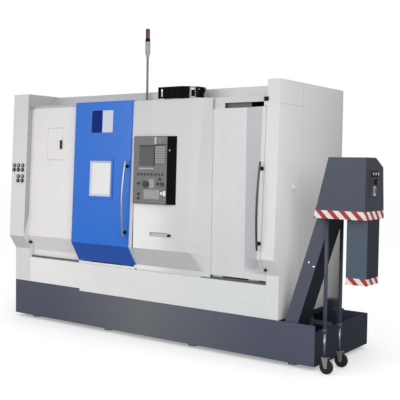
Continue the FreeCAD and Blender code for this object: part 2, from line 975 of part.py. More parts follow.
def pulpit_shell():
    low = pulpit_rail_top + slide_gap
    outer = loft_z([
        (low, pulpit_outline(0.0, pulpit_low_right)),
        (pulpit_low, pulpit_outline(0.0, pulpit_low_right)),
        (pulpit_bend, pulpit_outline(pulpit_bend_front, pulpit_bend_right)),
        (pulpit_top, pulpit_outline(pulpit_top_front, pulpit_top_right)),
    ])
    wall = skin * 0.6
    top = pulpit_top - skin
    inner = loft_z([
        (low + skin, pulpit_outline(0.0, pulpit_low_right, wall, 1.0)),
        (pulpit_low, pulpit_outline(0.0, pulpit_low_right, wall, 1.0)),
        (pulpit_bend, pulpit_outline(pulpit_bend_front, pulpit_bend_right, wall, 1.0)),
        (top, pulpit_outline(pulpit_front(top), pulpit_right(top), wall, 1.0)),
    ])
    x0 = pulpit_x + grip_inset
    x1 = x0 + grip_length
    z1 = grip_low + grip_height
    y = pulpit_front(grip_low + grip_height / 2)
    recess = block(x0, x1, y - 20.0, y + grip_depth, grip_low, z1)
    tray = block(x0 - skin, x1 + skin, y + 4.0, y + grip_depth + skin / 2, grip_low - skin, z1 + skin)
    carrier = block(chain_start_x, chain_start_x + bracket_length, chain_front_y - chain_width / 2,
                    pulpit_back_y - 1.0, top, tray_top)
    return union([outer.cut(inner), tray, carrier]).cut(recess)


def console_body():
    """The raised control face with a cheek that slopes back on its right."""
    x0 = console_x
    x1 = console_x + console_width
    x2 = x1 + cheek_width
    sections = []
    for z in (console_low, console_low + console_height):
        y = pulpit_front(z)
        sections.append((z, [(x0, y - console_rise), (x1 + cheek_step, y - console_rise), (x2, y - cheek_edge),
                             (x2, y), (x0, y)]))
    x = console_x + start_inset
    z = console_low + start_rise
    well = rod(x, pulpit_front(z) - console_rise + 14.0, z, pulpit_normal, stem_radius + slide_gap, 20.0)
    return loft_z(sections).cut(well)


def on_console(x0, x1, z0, z1, rise):
    """A flat piece on the control face."""
    low = pulpit_front(z0) - console_rise
    high = pulpit_front(z1) - console_rise
    return prism_x([(low - rise, z0), (high - rise, z1), (high, z1), (low, z0)], x0, x1)


def console_screen():
    return on_console(screen_x, screen_x + screen_width, screen_low, screen_low + screen_height, screen_lift)


def console_keys():
    """Key caps in rows: softkeys under the screen, the letter block beside it and the panel keys below."""
    keys = []

    def rows(x0, z0, columns, lines, size, pitch_x, pitch_z):
        for line in range(lines):
            for column in range(columns):
                x = x0 + column * pitch_x
                z = z0 - line * pitch_z
                keys.append(on_console(x, x + size[0], z - size[1], z, key_lift))

    rows(screen_x - 2.0, screen_low - softkey_drop, 6, 1, softkey_size, softkey_pitch, 0.0)
    rows(console_x + letter_inset, console_low + letter_rise, 5, 7, letter_size, letter_pitch, letter_pitch)
    rows(console_x + panel_key_inset, console_low + panel_key_rise, 8, 1, panel_key_size, panel_key_pitch, 0.0)
    rows(console_x + mode_key_inset, console_low + mode_key_rise, 6, 4, mode_key_size, *mode_key_pitch)
    return group(keys)


def knob(x, y, z, radius, reach, sides=28):
    """A turned knob square to the pulpit's face, with a small round cap in its middle."""
    body = faceted_rod(x, y, z, pulpit_normal, radius, reach, sides)
    return union([body, rod(x, y, z, pulpit_normal, radius * knob_cap_share, reach + knob_cap_rise)])


def control_knob(x, z, radius, reach):
    """A knob that stands off the control face."""
    return knob(x, pulpit_front(z) - console_rise - control_gap, z, radius, reach)


def handwheel():
    x = console_x + wheel_inset
    z = console_low + wheel_rise
    y = pulpit_front(z) - console_rise - control_gap
    grip = faceted_rod(x + grip_offset, y, z, pulpit_normal, grip_radius, 2 * handwheel_depth, 12)
    return union([control_knob(x, z, handwheel_radius, handwheel_depth), grip])


def override_knob():
    return control_knob(console_x + override_inset, console_low + override_rise, override_radius, override_reach)


def cycle_start():
    """A push button: a cap that stands off the face on a stem that slides in its well."""
    x = console_x + start_inset
    z = console_low + start_rise
    y = pulpit_front(z) - console_rise
    cap = faceted_rod(x, y - button_gap, z, pulpit_normal, start_radius, start_depth, 24)
    stem = faceted_rod(x, y + stem_sink, z, pulpit_normal, stem_radius, stem_sink + button_gap + 2.0, 12)
    return union([cap, stem])


def clamp_knob():
    """The small knob at the right end of the pulpit's grip recess."""
    z = grip_low + grip_height / 2
    return knob(pulpit_x + clamp_inset, pulpit_front(z) - control_gap, z, clamp_radius, clamp_reach, 20)


def right_door():
    back = right_door_y + right_door_thickness
    edge = right_column_x - door_gap

    def outline(front, inset=0.0, extra=0.0):
        return [
            (right_door_x + inset, right_door_y + inset),
            (right_door_fold + inset * 0.5, right_door_y + inset),
            (right_door_stile + inset * 0.5, front + inset),
            (edge - inset, front + inset),
            (edge - inset, back + extra),
            (right_door_x + inset, back + extra),
        ]

    top_front = front_y(right_door_top)
    outer = loft_z([
        (panel_low, outline(0.0)),
        (bend_low, outline(0.0)),
        (bend_high, outline(bend_front_y)),
        (right_door_top, outline(top_front)),
    ])
    inner = loft_z([
        (panel_low + skin, outline(0.0, skin, 1.0)),
        (bend_low, outline(0.0, skin, 1.0)),
        (bend_high, outline(bend_front_y, skin, 1.0)),
        (right_door_top - skin, outline(top_front, skin, 1.0)),
    ])
    runners = []
    for x in (right_door_x + runner_inset, edge - runner_inset - 1.2 * runner_length):
        runners.append(block(x, x + runner_length, rail_y + 2.0, rail_y + 8.0, rail_top + slide_gap,
                             panel_low + 20.0))
    for x in (right_door_x + slot_cover + runner_inset, right_door_fold - runner_length):
        runners.append(block(x, x + runner_length, back - skin, back + hanger_depth - slide_gap,
                             right_door_top - skin, right_door_top))
    return union([outer.cut(inner)] + runners)


# ---------------------------------------------------------------- bed and spindle line
def slant_bed():
    low = slope_point(0.0, 0.0)
    high = slope_point(slope_length, 0.0)
    outline = [
        (bed_front_y, bed_bottom),
        (bed_front_y, bed_foot_z - 40.0),
        low,
        high,
        (bed_back_y, high[1]),
        (bed_back_y, bed_bottom),
    ]
    casting = prism_x(outline, bed_x, bed_x + bed_length)
    tunnel_outline = [(bed_front_y + 90.0, bed_bottom + 120.0), (bed_front_y + 90.0, 470.0),
                      (bed_back_y - 130.0, 900.0), (bed_back_y - 130.0, bed_bottom + 120.0)]
    tunnel = prism_x(tunnel_outline, bed_x - 1, bed_x + bed_length + 1)
    return casting.cut(tunnel)


def bed_ways():
    """Two ways, and the bearing blocks of the ball screw between them."""
    pieces = []
    for across in (low_way, high_way):
        pieces.append(slope_block(splash_x + 40.0, bed_x + bed_length - 20.0, across, across + way_width,
                                  0.0, way_height))
    y, z = slope_point(screw_across, screw_lift)
    for x in (splash_x + 44.0, bed_x + bed_length - 70.0):
        bearing = slope_block(x, x + 30.0, screw_across - 34.0, screw_across + 34.0, 0.0, screw_lift + 22.0)
        pieces.append(bearing.cut(rod(x - 1, y, z, X_AXIS, screw_radius + slide_gap, 32.0)))
    return group(pieces)


def headstock():
    x0 = bed_x
    x1 = bed_x + headstock_length
    half = headstock_half
    body = slope_block(x0, x1, spindle_across - half, spindle_across + half, 0.0, spindle_lift + half * 0.62)
    nose = faceted_rod(x1, spindle_y, spindle_z, X_AXIS, spindle_radius + 48.0, nose_x - 20.0 - x1, 40)
    crown = faceted_rod(x0, spindle_y, spindle_z, X_AXIS, half, headstock_length, 40)
    bore = rod(x0 - 1, spindle_y, spindle_z, X_AXIS, spindle_radius + slide_gap, nose_x - x0)
    return union([body, nose, crown]).cut(bore)


def spindle():
    shaft = rod(spindle_x, spindle_y, spindle_z, X_AXIS, spindle_radius, nose_x - spindle_x)
    flange = faceted_rod(nose_x - 18.0, spindle_y, spindle_z, X_AXIS, spindle_radius + 35.0, 18.0, 40)
    pulley = grooved_pulley(belt_x, spindle_y, spindle_z, spindle_pulley_radius, spindle_radius)
    bore = rod(spindle_x - 1, spindle_y, spindle_z, X_AXIS, spindle_bore, nose_x - spindle_x + 2)
    return union([shaft, flange, pulley]).cut(bore)


def grooved_pulley(x, y, z, radius, bore):
    """A wide belt pulley with two rims."""
    rim = 6.0
    body = faceted_rod(x, y, z, X_AXIS, radius, belt_width + 4.0 + 2 * rim, 32)
    rims = []
    for rim_x in (x, x + belt_width + 4.0 + rim):
        rims.append(faceted_rod(rim_x, y, z, X_AXIS, radius + 8.0, rim, 32))
    hole = rod(x - 1, y, z, X_AXIS, bore, belt_width + 4.0 + 2 * rim + 2)
    return union([body] + rims).cut(hole)


def motor_pulley():
    pulley = grooved_pulley(belt_x, motor_y, motor_z, motor_pulley_radius, motor_shaft_radius)
    shaft = rod(belt_x, motor_y, motor_z, X_AXIS, motor_shaft_radius, bed_x + 40.0 - belt_x)
    return union([pulley, shaft])


def drive_belt():
    """A flat belt: two round ends joined by their common tangents, with a small gap round the pulleys."""
    gap = 0.5
    thick = 5.0
    dy = motor_y - spindle_y
    dz = motor_z - spindle_z
    centres = math.hypot(dy, dz)
    heading = math.atan2(dz, dy)
    x0 = belt_x + 8.0

    def loop(extra):
        big = spindle_pulley_radius + extra
        small = motor_pulley_radius + extra
        lean = math.acos((big - small) / centres)
        corners = []
        for centre_y, centre_z, radius in ((spindle_y, spindle_z, big), (motor_y, motor_z, small)):
            for side in (1, -1):
                angle = heading + side * lean
                corners.append(Vector(x0, centre_y + radius * math.cos(angle), centre_z + radius * math.sin(angle)))
        big_top, big_low, small_top, small_low = corners
        far_big = Vector(x0, spindle_y - big * math.cos(heading), spindle_z - big * math.sin(heading))
        far_small = Vector(x0, motor_y + small * math.cos(heading), motor_z + small * math.sin(heading))
        edges = [
            Part.Arc(big_top, far_big, big_low).toShape(),
            Part.LineSegment(big_low, small_low).toShape(),
            Part.Arc(small_low, far_small, small_top).toShape(),
            Part.LineSegment(small_top, big_top).toShape(),
        ]
        return Part.Face(Part.Wire(edges)).extrude(Vector(belt_width, 0, 0))

    return loop(gap + thick).cut(loop(gap))


def spindle_motor():
    x0 = bed_x + 20.0
    body = faceted_rod(x0, motor_y, motor_z, X_AXIS, motor_radius, motor_length, 36)
    ledge = slope_point(slope_length, 0.0)[1]
    back = bed_back_y - motor_foot_edge
    foot = block(x0 + motor_foot_inset, x0 + motor_length - motor_foot_inset, back - motor_foot_depth, back,
                 ledge, ledge + motor_foot_height)
    rib = block(x0 + motor_rib_inset, x0 + motor_length - motor_rib_inset, motor_y - motor_foot_edge,
                bed_back_y - motor_rib_inset, ledge + motor_foot_height / 2, motor_z - motor_radius / 2)
    hole = rod(x0 - 1, motor_y, motor_z, X_AXIS, motor_shaft_radius + slide_gap, motor_rib_inset)
    return union([body, foot, rib]).cut(hole)


def chuck_body():
    body = faceted_rod(nose_x, spindle_y, spindle_z, X_AXIS, chuck_radius, chuck_length, 48)
    bore = rod(nose_x - 1, spindle_y, spindle_z, X_AXIS, chuck_bore, chuck_length + 2)
    face_x = nose_x + chuck_length
    slots = []
    for index in range(3):
        slot = block(face_x - jaw_key - 1.0, face_x + 1, spindle_y - 10.0, spindle_y + 10.0,
                     spindle_z, spindle_z + chuck_radius + 1)
        slot.rotate(Vector(face_x, spindle_y, spindle_z), X_AXIS, 120.0 * index)
        slots.append(slot)
    return body.cut([bore] + slots)


def chuck_jaw(index):
    """A stepped jaw with a key that runs in the chuck's slot."""
    face_x = nose_x + chuck_length
    inner = spindle_z + jaw_inner
    half = jaw_width / 2
    foot = block(face_x + slide_gap, face_x + jaw_depth * 0.5, spindle_y - half, spindle_y + half,
                 inner, inner + jaw_length)
    step = block(face_x + slide_gap, face_x + jaw_depth, spindle_y - half, spindle_y + half,
                 inner, inner + jaw_length * 0.55)
    key = block(face_x - jaw_key, face_x + 2.0, spindle_y - 9.6, spindle_y + 9.6, inner + 4.0,
                inner + jaw_length - 4.0)
    jaw = union([foot, step, key])
    jaw.rotate(Vector(face_x, spindle_y, spindle_z), X_AXIS, 120.0 * index)
    return jaw


def splash_wall():
    """The sheet wall between the headstock and the work space."""
    back = base_depth - skin
    inner_fascia = fascia_y + skin
    outline = [(header_y + 80.0, apron_top + 40.0), (header_y + 80.0, shelf_top - skin),
               (inner_fascia, shelf_top - skin), (inner_fascia, roof_top - skin), (back, roof_top - skin),
               (back, slope_point(slope_length, 0.0)[1]), slope_point(slope_length, 0.0), slope_point(0.0, 0.0),
               (bed_front_y, bed_foot_z - 40.0), (header_y + 80.0, bed_foot_z - 40.0)]
    wall = prism_x(outline, splash_x, splash_x + skin)
    hole = rod(splash_x - 1, spindle_y, spindle_z, X_AXIS, splash_bore, skin + 2)
    return wall.cut(hole)


# ---------------------------------------------------------------- carriage, cross slide, turret
def truck_cheeks(x0, x1):
    """The lips that run down each side of both ways."""
    lips = []
    for across in (low_way, high_way):
        edge = across + way_width + slide_gap
        lips.append(slope_block(x0, x1, across - 26.0, across - slide_gap, 6.0, way_height + slide_gap + 1))
        lips.append(slope_block(x0, x1, edge, edge + 26.0, 6.0, way_height + slide_gap + 1))
    return lips


def carriage_top():
    return way_height + slide_gap + carriage_thickness


def carriage():
    x0 = carriage_x
    x1 = carriage_x + carriage_length
    slab = slope_block(x0, x1, low_way - 30.0, high_way + way_width + 30.0, way_height + slide_gap, carriage_top())
    nut_x = x0 + (carriage_length - nut_length) / 2
    nut = slope_block(nut_x, nut_x + nut_length, screw_across - nut_radius, screw_across + nut_radius, 4.0,
                      way_height + 2.0)
    y, z = slope_point(screw_across, screw_lift)
    nut = nut.cut(rod(nut_x - 1, y, z, X_AXIS, screw_radius + slide_gap, nut_length + 2))
    ways = []
    for x in (x0 + cross_way_inset, x1 - cross_way_inset - cross_way_width):
        ways.append(slope_block(x, x + cross_way_width, low_way + 300.0, high_way + way_width + 30.0,
                                carriage_top() - 1, carriage_top() + cross_way_height))
    return union([slab, nut] + truck_cheeks(x0, x1) + ways)


def cross_slide():
    x0 = carriage_x + 15.0
    x1 = carriage_x + carriage_length - 15.0
    low = carriage_top() + cross_way_height + slide_gap
    slab = slope_block(x0, x1, cross_start, cross_start + cross_length, low, low + cross_slab)
    lips = []
    for x in (carriage_x + cross_way_inset, carriage_x + carriage_length - cross_way_inset - cross_way_width):
        right = x + cross_way_width + slide_gap
        lips.append(slope_block(x - 18.0, x - slide_gap, cross_start, cross_start + cross_length,
                                carriage_top() + 4.0, low + 1))
        lips.append(slope_block(right, right + 18.0, cross_start, cross_start + cross_length,
                                carriage_top() + 4.0, low + 1))
    y, z = slope_point(turret_across, spindle_lift)
    housing = slope_block(x0, x1 - 90.0, turret_across - 105.0, turret_across + 105.0, low + cross_slab - 1,
                          spindle_lift + 60.0)
    barrel = faceted_rod(x0, y, z, X_AXIS, 105.0, x1 - 40.0 - x0, 40)
    shaft_hole = rod(x0 - 1, y, z, X_AXIS, turret_shaft_radius + slide_gap, 60.0)
    return union([slab, housing, barrel] + lips).cut(shaft_hole)


def turret():
    """A twelve-sided disc with tool holders on every other face."""
    x1 = carriage_x + 15.0 - turret_gap
    x0 = x1 - turret_thickness
    y, z = slope_point(turret_across, spindle_lift)
    corners = []
    for index in range(turret_stations):
        angle = 2 * math.pi * (index + 0.5) / turret_stations
        corners.append((y + turret_radius * math.cos(angle), z + turret_radius * math.sin(angle)))
    disc = prism_x(corners, x0, x1)
    hub = faceted_rod(x0 - 14.0, y, z, X_AXIS, turret_radius * 0.45, 14.5, 24)
    shaft = rod(x1, y, z, X_AXIS, turret_shaft_radius, turret_gap + 40.0)
    flat = turret_radius * math.cos(math.pi / turret_stations)
    holders = []
    for index in range(0, turret_stations, 2):
        holder = block(x0 + 8.0, x1 - 8.0, y - 26.0, y + 26.0, z + flat - 1, z + flat + tool_reach * 0.62)
        if index % 4 == 0:
            tool = block(x0 - 24.0, x0 + 20.0, y - 10.0, y + 10.0, z + flat + 6.0, z + flat + 26.0)
            tip = block(x0 - 24.0, x0 - 4.0, y - 10.0, y + 10.0, z + flat + 6.0, z + flat + tool_reach)
            holder = union([holder, tool, tip])
        else:
            bore = rod(x0 - 1, y, z + flat + 18.0, X_AXIS, tool_bore, turret_thickness + 2)
            holder = holder.cut(bore)
        holder.rotate(Vector(x0, y, z), X_AXIS, 360.0 * index / turret_stations)
        holders.append(holder)
    return union([disc, hub, shaft] + holders)


def ball_screw():
    y, z = slope_point(screw_across, screw_lift)
    return rod(splash_x + 60.0, y, z, X_AXIS, screw_radius, bed_x + bed_length - splash_x - 100.0)


# ---------------------------------------------------------------- tailstock
def tailstock():
    x0 = tailstock_x
    x1 = tailstock_x + tailstock_length
    base = slope_block(x0, x1, low_way - 30.0, high_way + way_width + 30.0, way_height + slide_gap,
                       way_height + 52.0)
    half = tailstock_half
    body = slope_block(x0 + 20.0, x1 - 20.0, spindle_across - half, spindle_across + half, way_height + 50.0,
                       spindle_lift)
    crown = faceted_rod(x0 + 20.0, spindle_y, spindle_z, X_AXIS, half, tailstock_length - 40.0, 36)
    bore = rod(x0 - 1, spindle_y, spindle_z, X_AXIS, quill_radius + slide_gap, tailstock_length - 60.0)
    return union([base, body, crown] + truck_cheeks(x0, x1)).cut(bore)


def quill():
    """The sliding sleeve with its centre point."""
    x0 = tailstock_x + 20.0 - quill_reach
    sleeve = faceted_rod(x0, spindle_y, spindle_z, X_AXIS, quill_radius,
                         quill_reach + tailstock_length - 150.0, 36)
    centre = turned(x0 - centre_length, spindle_y, spindle_z, X_AXIS,
                    [(0.0, 0.6), (centre_length * 0.6, centre_radius), (centre_length + 1.0, centre_radius)], 28)
    return union([sleeve, centre])


# ---------------------------------------------------------------- chip conveyor
def conveyor_outline(inset, start, head):
    """The (x, z) side view of the conveyor: level in the tank, then up the incline."""
    across = math.radians(conveyor_angle)
    low = conveyor_bottom + inset
    high = conveyor_top - inset
    bend = math.tan(across / 2)
    foot_low = conveyor_foot_x - inset * bend
    foot_high = conveyor_foot_x - (conveyor_thickness - inset) * bend
    head_x = foot_low + (head - low) / conveyor_rise
    head_top_x = foot_high + (head - high) / conveyor_rise
    return [(start, low), (foot_low, low), (head_x, head), (head_top_x, head), (foot_high, high), (start, high)]


def conveyor_frame():
    outline = conveyor_outline(0.0, conveyor_start, conveyor_head_z)
    outer = prism_y(outline, conveyor_y, conveyor_back_y)
    inner = prism_y(conveyor_outline(conveyor_wall, conveyor_start + conveyor_wall, conveyor_head_z + 1.0),
                    conveyor_y + conveyor_wall, conveyor_back_y - conveyor_wall)
    mouth = block(conveyor_start + 60.0, conveyor_foot_x - 160.0, conveyor_y + conveyor_wall,
                  conveyor_back_y - conveyor_wall, conveyor_top - conveyor_wall - 1, conveyor_top + 1)
    skids = []
    for x in (conveyor_start + 100.0, (conveyor_start + conveyor_foot_x) / 2, conveyor_foot_x - 160.0):
        skids.append(block(x, x + 60.0, conveyor_y, conveyor_back_y, foot_height + plate, conveyor_bottom + 1))
    bolts = []
    z = conveyor_top + bolt_rise
    x = outline[4][0] + bolt_rise / conveyor_rise + bolt_spread
    for dx, dz in ((0.0, 0.0), (bolt_spread * 0.6, -bolt_spread * 0.6)):
        bolts.append(faceted_rod(x + dx, conveyor_y + 1, z + dz, Vector(0, -1, 0), bolt_radius, bolt_height + 1, 6))
    return union([outer.cut([inner, mouth])] + skids + bolts)


def head_centre():
    """The drive shaft's (x, z) place, midway across the top of the incline."""
    outline = conveyor_outline(conveyor_thickness / 2 - 0.01, conveyor_start, conveyor_head_z + head_shaft_rise)
    return outline[2]


def conveyor_belt():
    """The slat belt as a closed band with cleats: out along the floor, up the incline and back below."""
    clear = belt_clearance
    head_x, head_z = head_centre()
    y0 = conveyor_y + conveyor_wall + 4.0
    y1 = conveyor_back_y - conveyor_wall - 4.0
    start = conveyor_start + conveyor_wall + 8.0

    def loop(inset):
        outline = conveyor_outline(inset, start + inset - clear, head_z)
        band = prism_y(outline, y0, y1)
        across = math.radians(conveyor_angle)
        radius = conveyor_thickness / 2 - inset
        turn = Part.makeCylinder(radius, y1 - y0, Vector(head_x, y0, head_z), Y_AXIS)
        cap = band.fuse(turn)
        return cap.removeSplitter()

    band = loop(clear).cut(loop(clear + belt_thickness))
    cleats = []
    run = conveyor_foot_x - 120.0 - start - 80.0
    for index in range(int(run // cleat_spacing)):
        x = start + 80.0 + index * cleat_spacing
        z = conveyor_top - clear - belt_thickness - 1.0
        cleats.append(block(x, x + 4.0, y0 + 6.0, y1 - 6.0, z - cleat_height, z + 1.5))
    return union([band] + cleats)


def conveyor_shaft():
    """The drive shaft with two toothed wheels inside the belt's top turn."""
    head_x, head_z = head_centre()
    radius = conveyor_thickness / 2 - belt_clearance - belt_thickness - slide_gap
    start = hood_front_y + hood_wall + slide_gap
    shoulder = hood_shoulder_z - hood_wall
    fall = (shoulder - head_z - head_shaft_radius) / (shoulder - hood_low)
    end = hood_shoulder_y - hood_wall + (hood_back_y - hood_shoulder_y) * fall - slide_gap
    shaft = rod(head_x, start, head_z, Y_AXIS, head_shaft_radius, end - start)
    wheels = []
    for y in (conveyor_y + 40.0, conveyor_back_y - 60.0):
        corners = []
        teeth = 8
        for index in range(teeth * 2):
            angle = math.pi * index / teeth
            reach = radius if index % 2 == 0 else radius * 0.8
            corners.append((head_x + reach * math.cos(angle), head_z + reach * math.sin(angle)))
        wheels.append(prism_y(corners, y, y + 20.0))
    return union([shaft] + wheels)


def hood_solid(inset, low):
    side = [
        (hood_x + inset, low),
        (hood_x + inset + hood_slant * (hood_high - inset - low) / (hood_high - hood_low), hood_high - inset),
        (hood_right - inset, hood_high - inset),
        (hood_right - inset, low),
    ]
    end = [
        (hood_front_y + inset, low),
        (hood_front_y + inset, hood_high - inset),
        (hood_ridge_y - inset * 0.5, hood_high - inset),
        (hood_shoulder_y - inset, hood_shoulder_z - inset),
        (hood_back_y - inset, low),
    ]
    return prism_y(side, hood_front_y - 1, hood_back_y + 1).common(prism_x(end, hood_x - 1, hood_right + 1))


def conveyor_hood():
    shell = hood_solid(0.0, hood_low).cut(hood_solid(hood_wall, hood_low + hood_wall))
    outline = conveyor_outline(-0.5, conveyor_start, conveyor_head_z)
    entry = prism_y(outline, conveyor_y - 0.5, conveyor_back_y + 0.5)
    drop = block(chute_x + hood_wall, hood_right - 2 * hood_wall, conveyor_y + hood_wall,
                 conveyor_back_y - hood_wall, hood_low - 1, hood_low + hood_wall + 1)
    panel_top_z = hood_high - panel_drop
    panel = block(hood_right - 1, hood_right + panel_rise, panel_front_y, panel_back_y, panel_top_z - panel_height,
                  panel_top_z)
    face = hood_right + panel_rise
    middle = (panel_front_y + panel_back_y) / 2
    button_z = panel_top_z - lamp_button_drop
    switch_z = panel_top_z - switch_drop
    fittings = [faceted_rod(face - 1, middle, switch_z, X_AXIS, switch_radius, switch_depth + 1, 16)]
    for y in (middle - lamp_button_pitch, middle, middle + lamp_button_pitch):
        fittings.append(faceted_rod(face - 1, y, button_z, X_AXIS, lamp_button_radius, lamp_button_depth + 1, 16))
    stem_hole = rod(hood_right - 20.0, stop_y, stop_z, X_AXIS, stem_radius + slide_gap, 40.0)
    return union([shell.cut([entry, drop]), panel] + fittings).cut(stem_hole)


def conveyor_chute():
    x1 = hood_right - hood_wall
    outer = block(chute_x, x1, conveyor_y, conveyor_back_y, chute_low, hood_low)
    inner = block(chute_x + hood_wall, x1 - hood_wall, conveyor_y + hood_wall, conveyor_back_y - hood_wall,
                  chute_low - 1, hood_low + 1)
    return outer.cut(inner)


def conveyor_stop():
    """The round stop button on the hood's control panel, on a stem through the panel."""
    face = hood_right + panel_rise
    cap = faceted_rod(face + button_gap, stop_y, stop_z, X_AXIS, stop_radius, stop_depth, 24)
    stem = faceted_rod(face - stem_sink, stop_y, stop_z, X_AXIS, stem_radius, stem_sink + button_gap + 1.0, 12)
    return union([cap, stem])


def conveyor_legs():
    """Two telescopic legs: a wide upper tube and a thinner lower one that takes the caster's stem."""
    pieces = []
    low = fork_top + slide_gap
    step = fork_top + leg_step_rise
    for y in (front_caster_y, rear_caster_y):
        upper = faceted_rod(leg_x, y, step, Z_AXIS, leg_radius, hood_low - step, 20)
        lower = faceted_rod(leg_x, y, low, Z_AXIS, leg_lower_radius, step + 1.0 - low, 20)
        socket = rod(leg_x, y, fork_top, Z_AXIS, stem_radius + slide_gap, 34.0)
        pieces.append(union([upper, lower]).cut(socket))
    return group(pieces)


def caster_fork(y):
    """The swivel fork with its stem and axle."""
    axle_x = leg_x + caster_trail
    half = wheel_width / 2 + 1.0
    wall = 4.0
    crown = block(leg_x - 18.0, axle_x + 16.0, y - half - wall, y + half + wall, fork_top - 6.0, fork_top)
    sides = []
    for y0 in (y - half - wall, y + half):
        outline = [(leg_x - 18.0, fork_top - 3.0), (axle_x + 16.0, fork_top - 3.0),
                   (axle_x + 12.0, wheel_radius - 12.0), (axle_x - 12.0, wheel_radius - 12.0)]
        sides.append(prism_y(outline, y0, y0 + wall))
    stem = rod(leg_x, y, fork_top - 1.0, Z_AXIS, stem_radius, 30.0)
    axle = rod(axle_x, y - half - wall, wheel_radius, Y_AXIS, axle_radius, 2 * (half + wall))
    return union([crown, stem, axle] + sides)


def caster_wheel(y):
    axle_x = leg_x + caster_trail
    shoulder = wheel_radius - tread_chamfer
    tyre = turned(axle_x, y - wheel_width / 2, wheel_radius, Y_AXIS,
                  [(0.0, shoulder), (tread_chamfer, wheel_radius), (wheel_width - tread_chamfer, wheel_radius),
                   (wheel_width, shoulder)], 36)
    bore = rod(axle_x, y - wheel_width, wheel_radius, Y_AXIS, axle_radius + slide_gap, 2 * wheel_width)
    return tyre.cut(bore)


def coolant_pump():
    """The immersed pump body with its upright motor."""
    x = housing_length + pump_gap
    lid = tank_rim + pump_lid
    body = block(x, x + pump_width, pump_y, pump_y + pump_depth, foot_height + plate, lid)
    motor = faceted_rod(x + pump_width / 2, pump_y + pump_depth / 2, lid, Z_AXIS, pump_motor_radius,
                        pump_motor_height, 28)
    return union([body, motor])


# ---------------------------------------------------------------- lamp, chain, cabinet
def signal_tower():
    """The pole with a tapered collar, a round body and a dark ring under the lens."""
    foot = faceted_rod(lamp_x, lamp_y, shelf_top, Z_AXIS, lamp_foot_radius, lamp_foot_height, 24)
    pole = rod(lamp_x, lamp_y, shelf_top, Z_AXIS, pole_radius, pole_top - shelf_top)
    body = turned(lamp_x, lamp_y, pole_top, Z_AXIS,
                  [(0.0, pole_radius + 4.0), (lamp_collar_z - pole_top, lamp_radius),
                   (lamp_ring_z - pole_top, lamp_radius)], 32)
    ring = faceted_rod(lamp_x, lamp_y, lamp_ring_z, Z_AXIS, lamp_radius - 2.0, lens_low - lamp_ring_z, 32)
    return union([foot, pole, body, ring])


def signal_lens():
    height = lens_high - lens_low
    return turned(lamp_x, lamp_y, lens_low, Z_AXIS,
                  [(0.0, lens_radius), (height - lens_chamfer, lens_radius), (height, lens_radius - lens_chamfer)], 36)


def cable_chain():
    """The chain on edge along a level loop: back run, half turn and front run. Grooves part the links, and the
    first link and those that face right in the turn are open at the side."""
    centre_y = chain_front_y + chain_radius
    half = chain_width / 2
    top = chain_low + chain_height
    outer = Part.makeCylinder(chain_radius + half, chain_height, Vector(chain_bend_x, centre_y, chain_low))
    inner = Part.makeCylinder(chain_radius - half, chain_height, Vector(chain_bend_x, centre_y, chain_low))
    left_half = block(0, chain_bend_x, -500, 1000, chain_low - 1, top + 1)
    runs = []
    for y in (chain_front_y, centre_y + chain_radius):
        runs.append(block(chain_start_x, chain_bend_x, y - half, y + half, chain_low, top))
    band = union([outer.cut([inner, left_half])] + runs)
    run = chain_bend_x - chain_start_x
    turn = math.pi * chain_radius
    count = int((2 * run + turn) // link_pitch)
    pitch = (2 * run + turn) / count

    def place(travelled):
        """Where the band's middle line lies, counted from the front run's free end, and how far it has turned."""
        if travelled < run:
            return chain_start_x + travelled, chain_front_y, 0.0
        if travelled < run + turn:
            heading = (travelled - run) / chain_radius
            return (chain_bend_x + chain_radius * math.sin(heading),
                    centre_y - chain_radius * math.cos(heading), heading)
        return chain_bend_x - (travelled - run - turn), centre_y + chain_radius, math.pi

    cuts = []
    for index in range(count):
        x, y, heading = place((index + 0.5) * pitch)
        if index == 0 or 0.25 * math.pi < heading < 0.6 * math.pi:
            window = block(x - pitch * 0.32, x + pitch * 0.32, y - chain_width, y + chain_width,
                           chain_low + link_pitch / 4, top - link_pitch / 4)
            window.rotate(Vector(x, y, chain_low), Z_AXIS, math.degrees(heading))
            cuts.append(window)
        if index:
            x, y, heading = place(index * pitch)
            for side in (-1, 1):
                edge = y + side * (half - link_groove_depth / 2)
                groove = block(x - link_groove / 2, x + link_groove / 2, edge - link_groove_depth,
                               edge + link_groove_depth, chain_low - 1, top + 1)
                groove.translate(Vector(0, side * link_groove_depth / 2, 0))
                groove.rotate(Vector(x, y, chain_low), Z_AXIS, math.degrees(heading))
                cuts.append(groove)
    return band.cut(cuts)


def electrical_cabinet():
    """An open-backed box on the back sheet, with a board of switchgear inside."""
    y0 = base_depth
    y1 = base_depth + cabinet_depth
    wall = cabinet_wall
    outer = block(cabinet_x, cabinet_x + cabinet_width, y0, y1, cabinet_low, cabinet_high)
    inner = block(cabinet_x + wall, cabinet_x + cabinet_width - wall, y0 + wall, y1 + 1, cabinet_low + wall,
                  cabinet_high - wall)
    devices = []
    for row in range(3):
        for column in range(3):
            x = cabinet_x + device_inset[0] + column * device_pitch[0]
            z = cabinet_low + device_inset[1] + row * device_pitch[1]
            devices.append(block(x, x + device_size[0], y0 + wall - 1, y0 + device_depth, z, z + device_size[1]))
    return union([outer.cut(inner)] + devices)


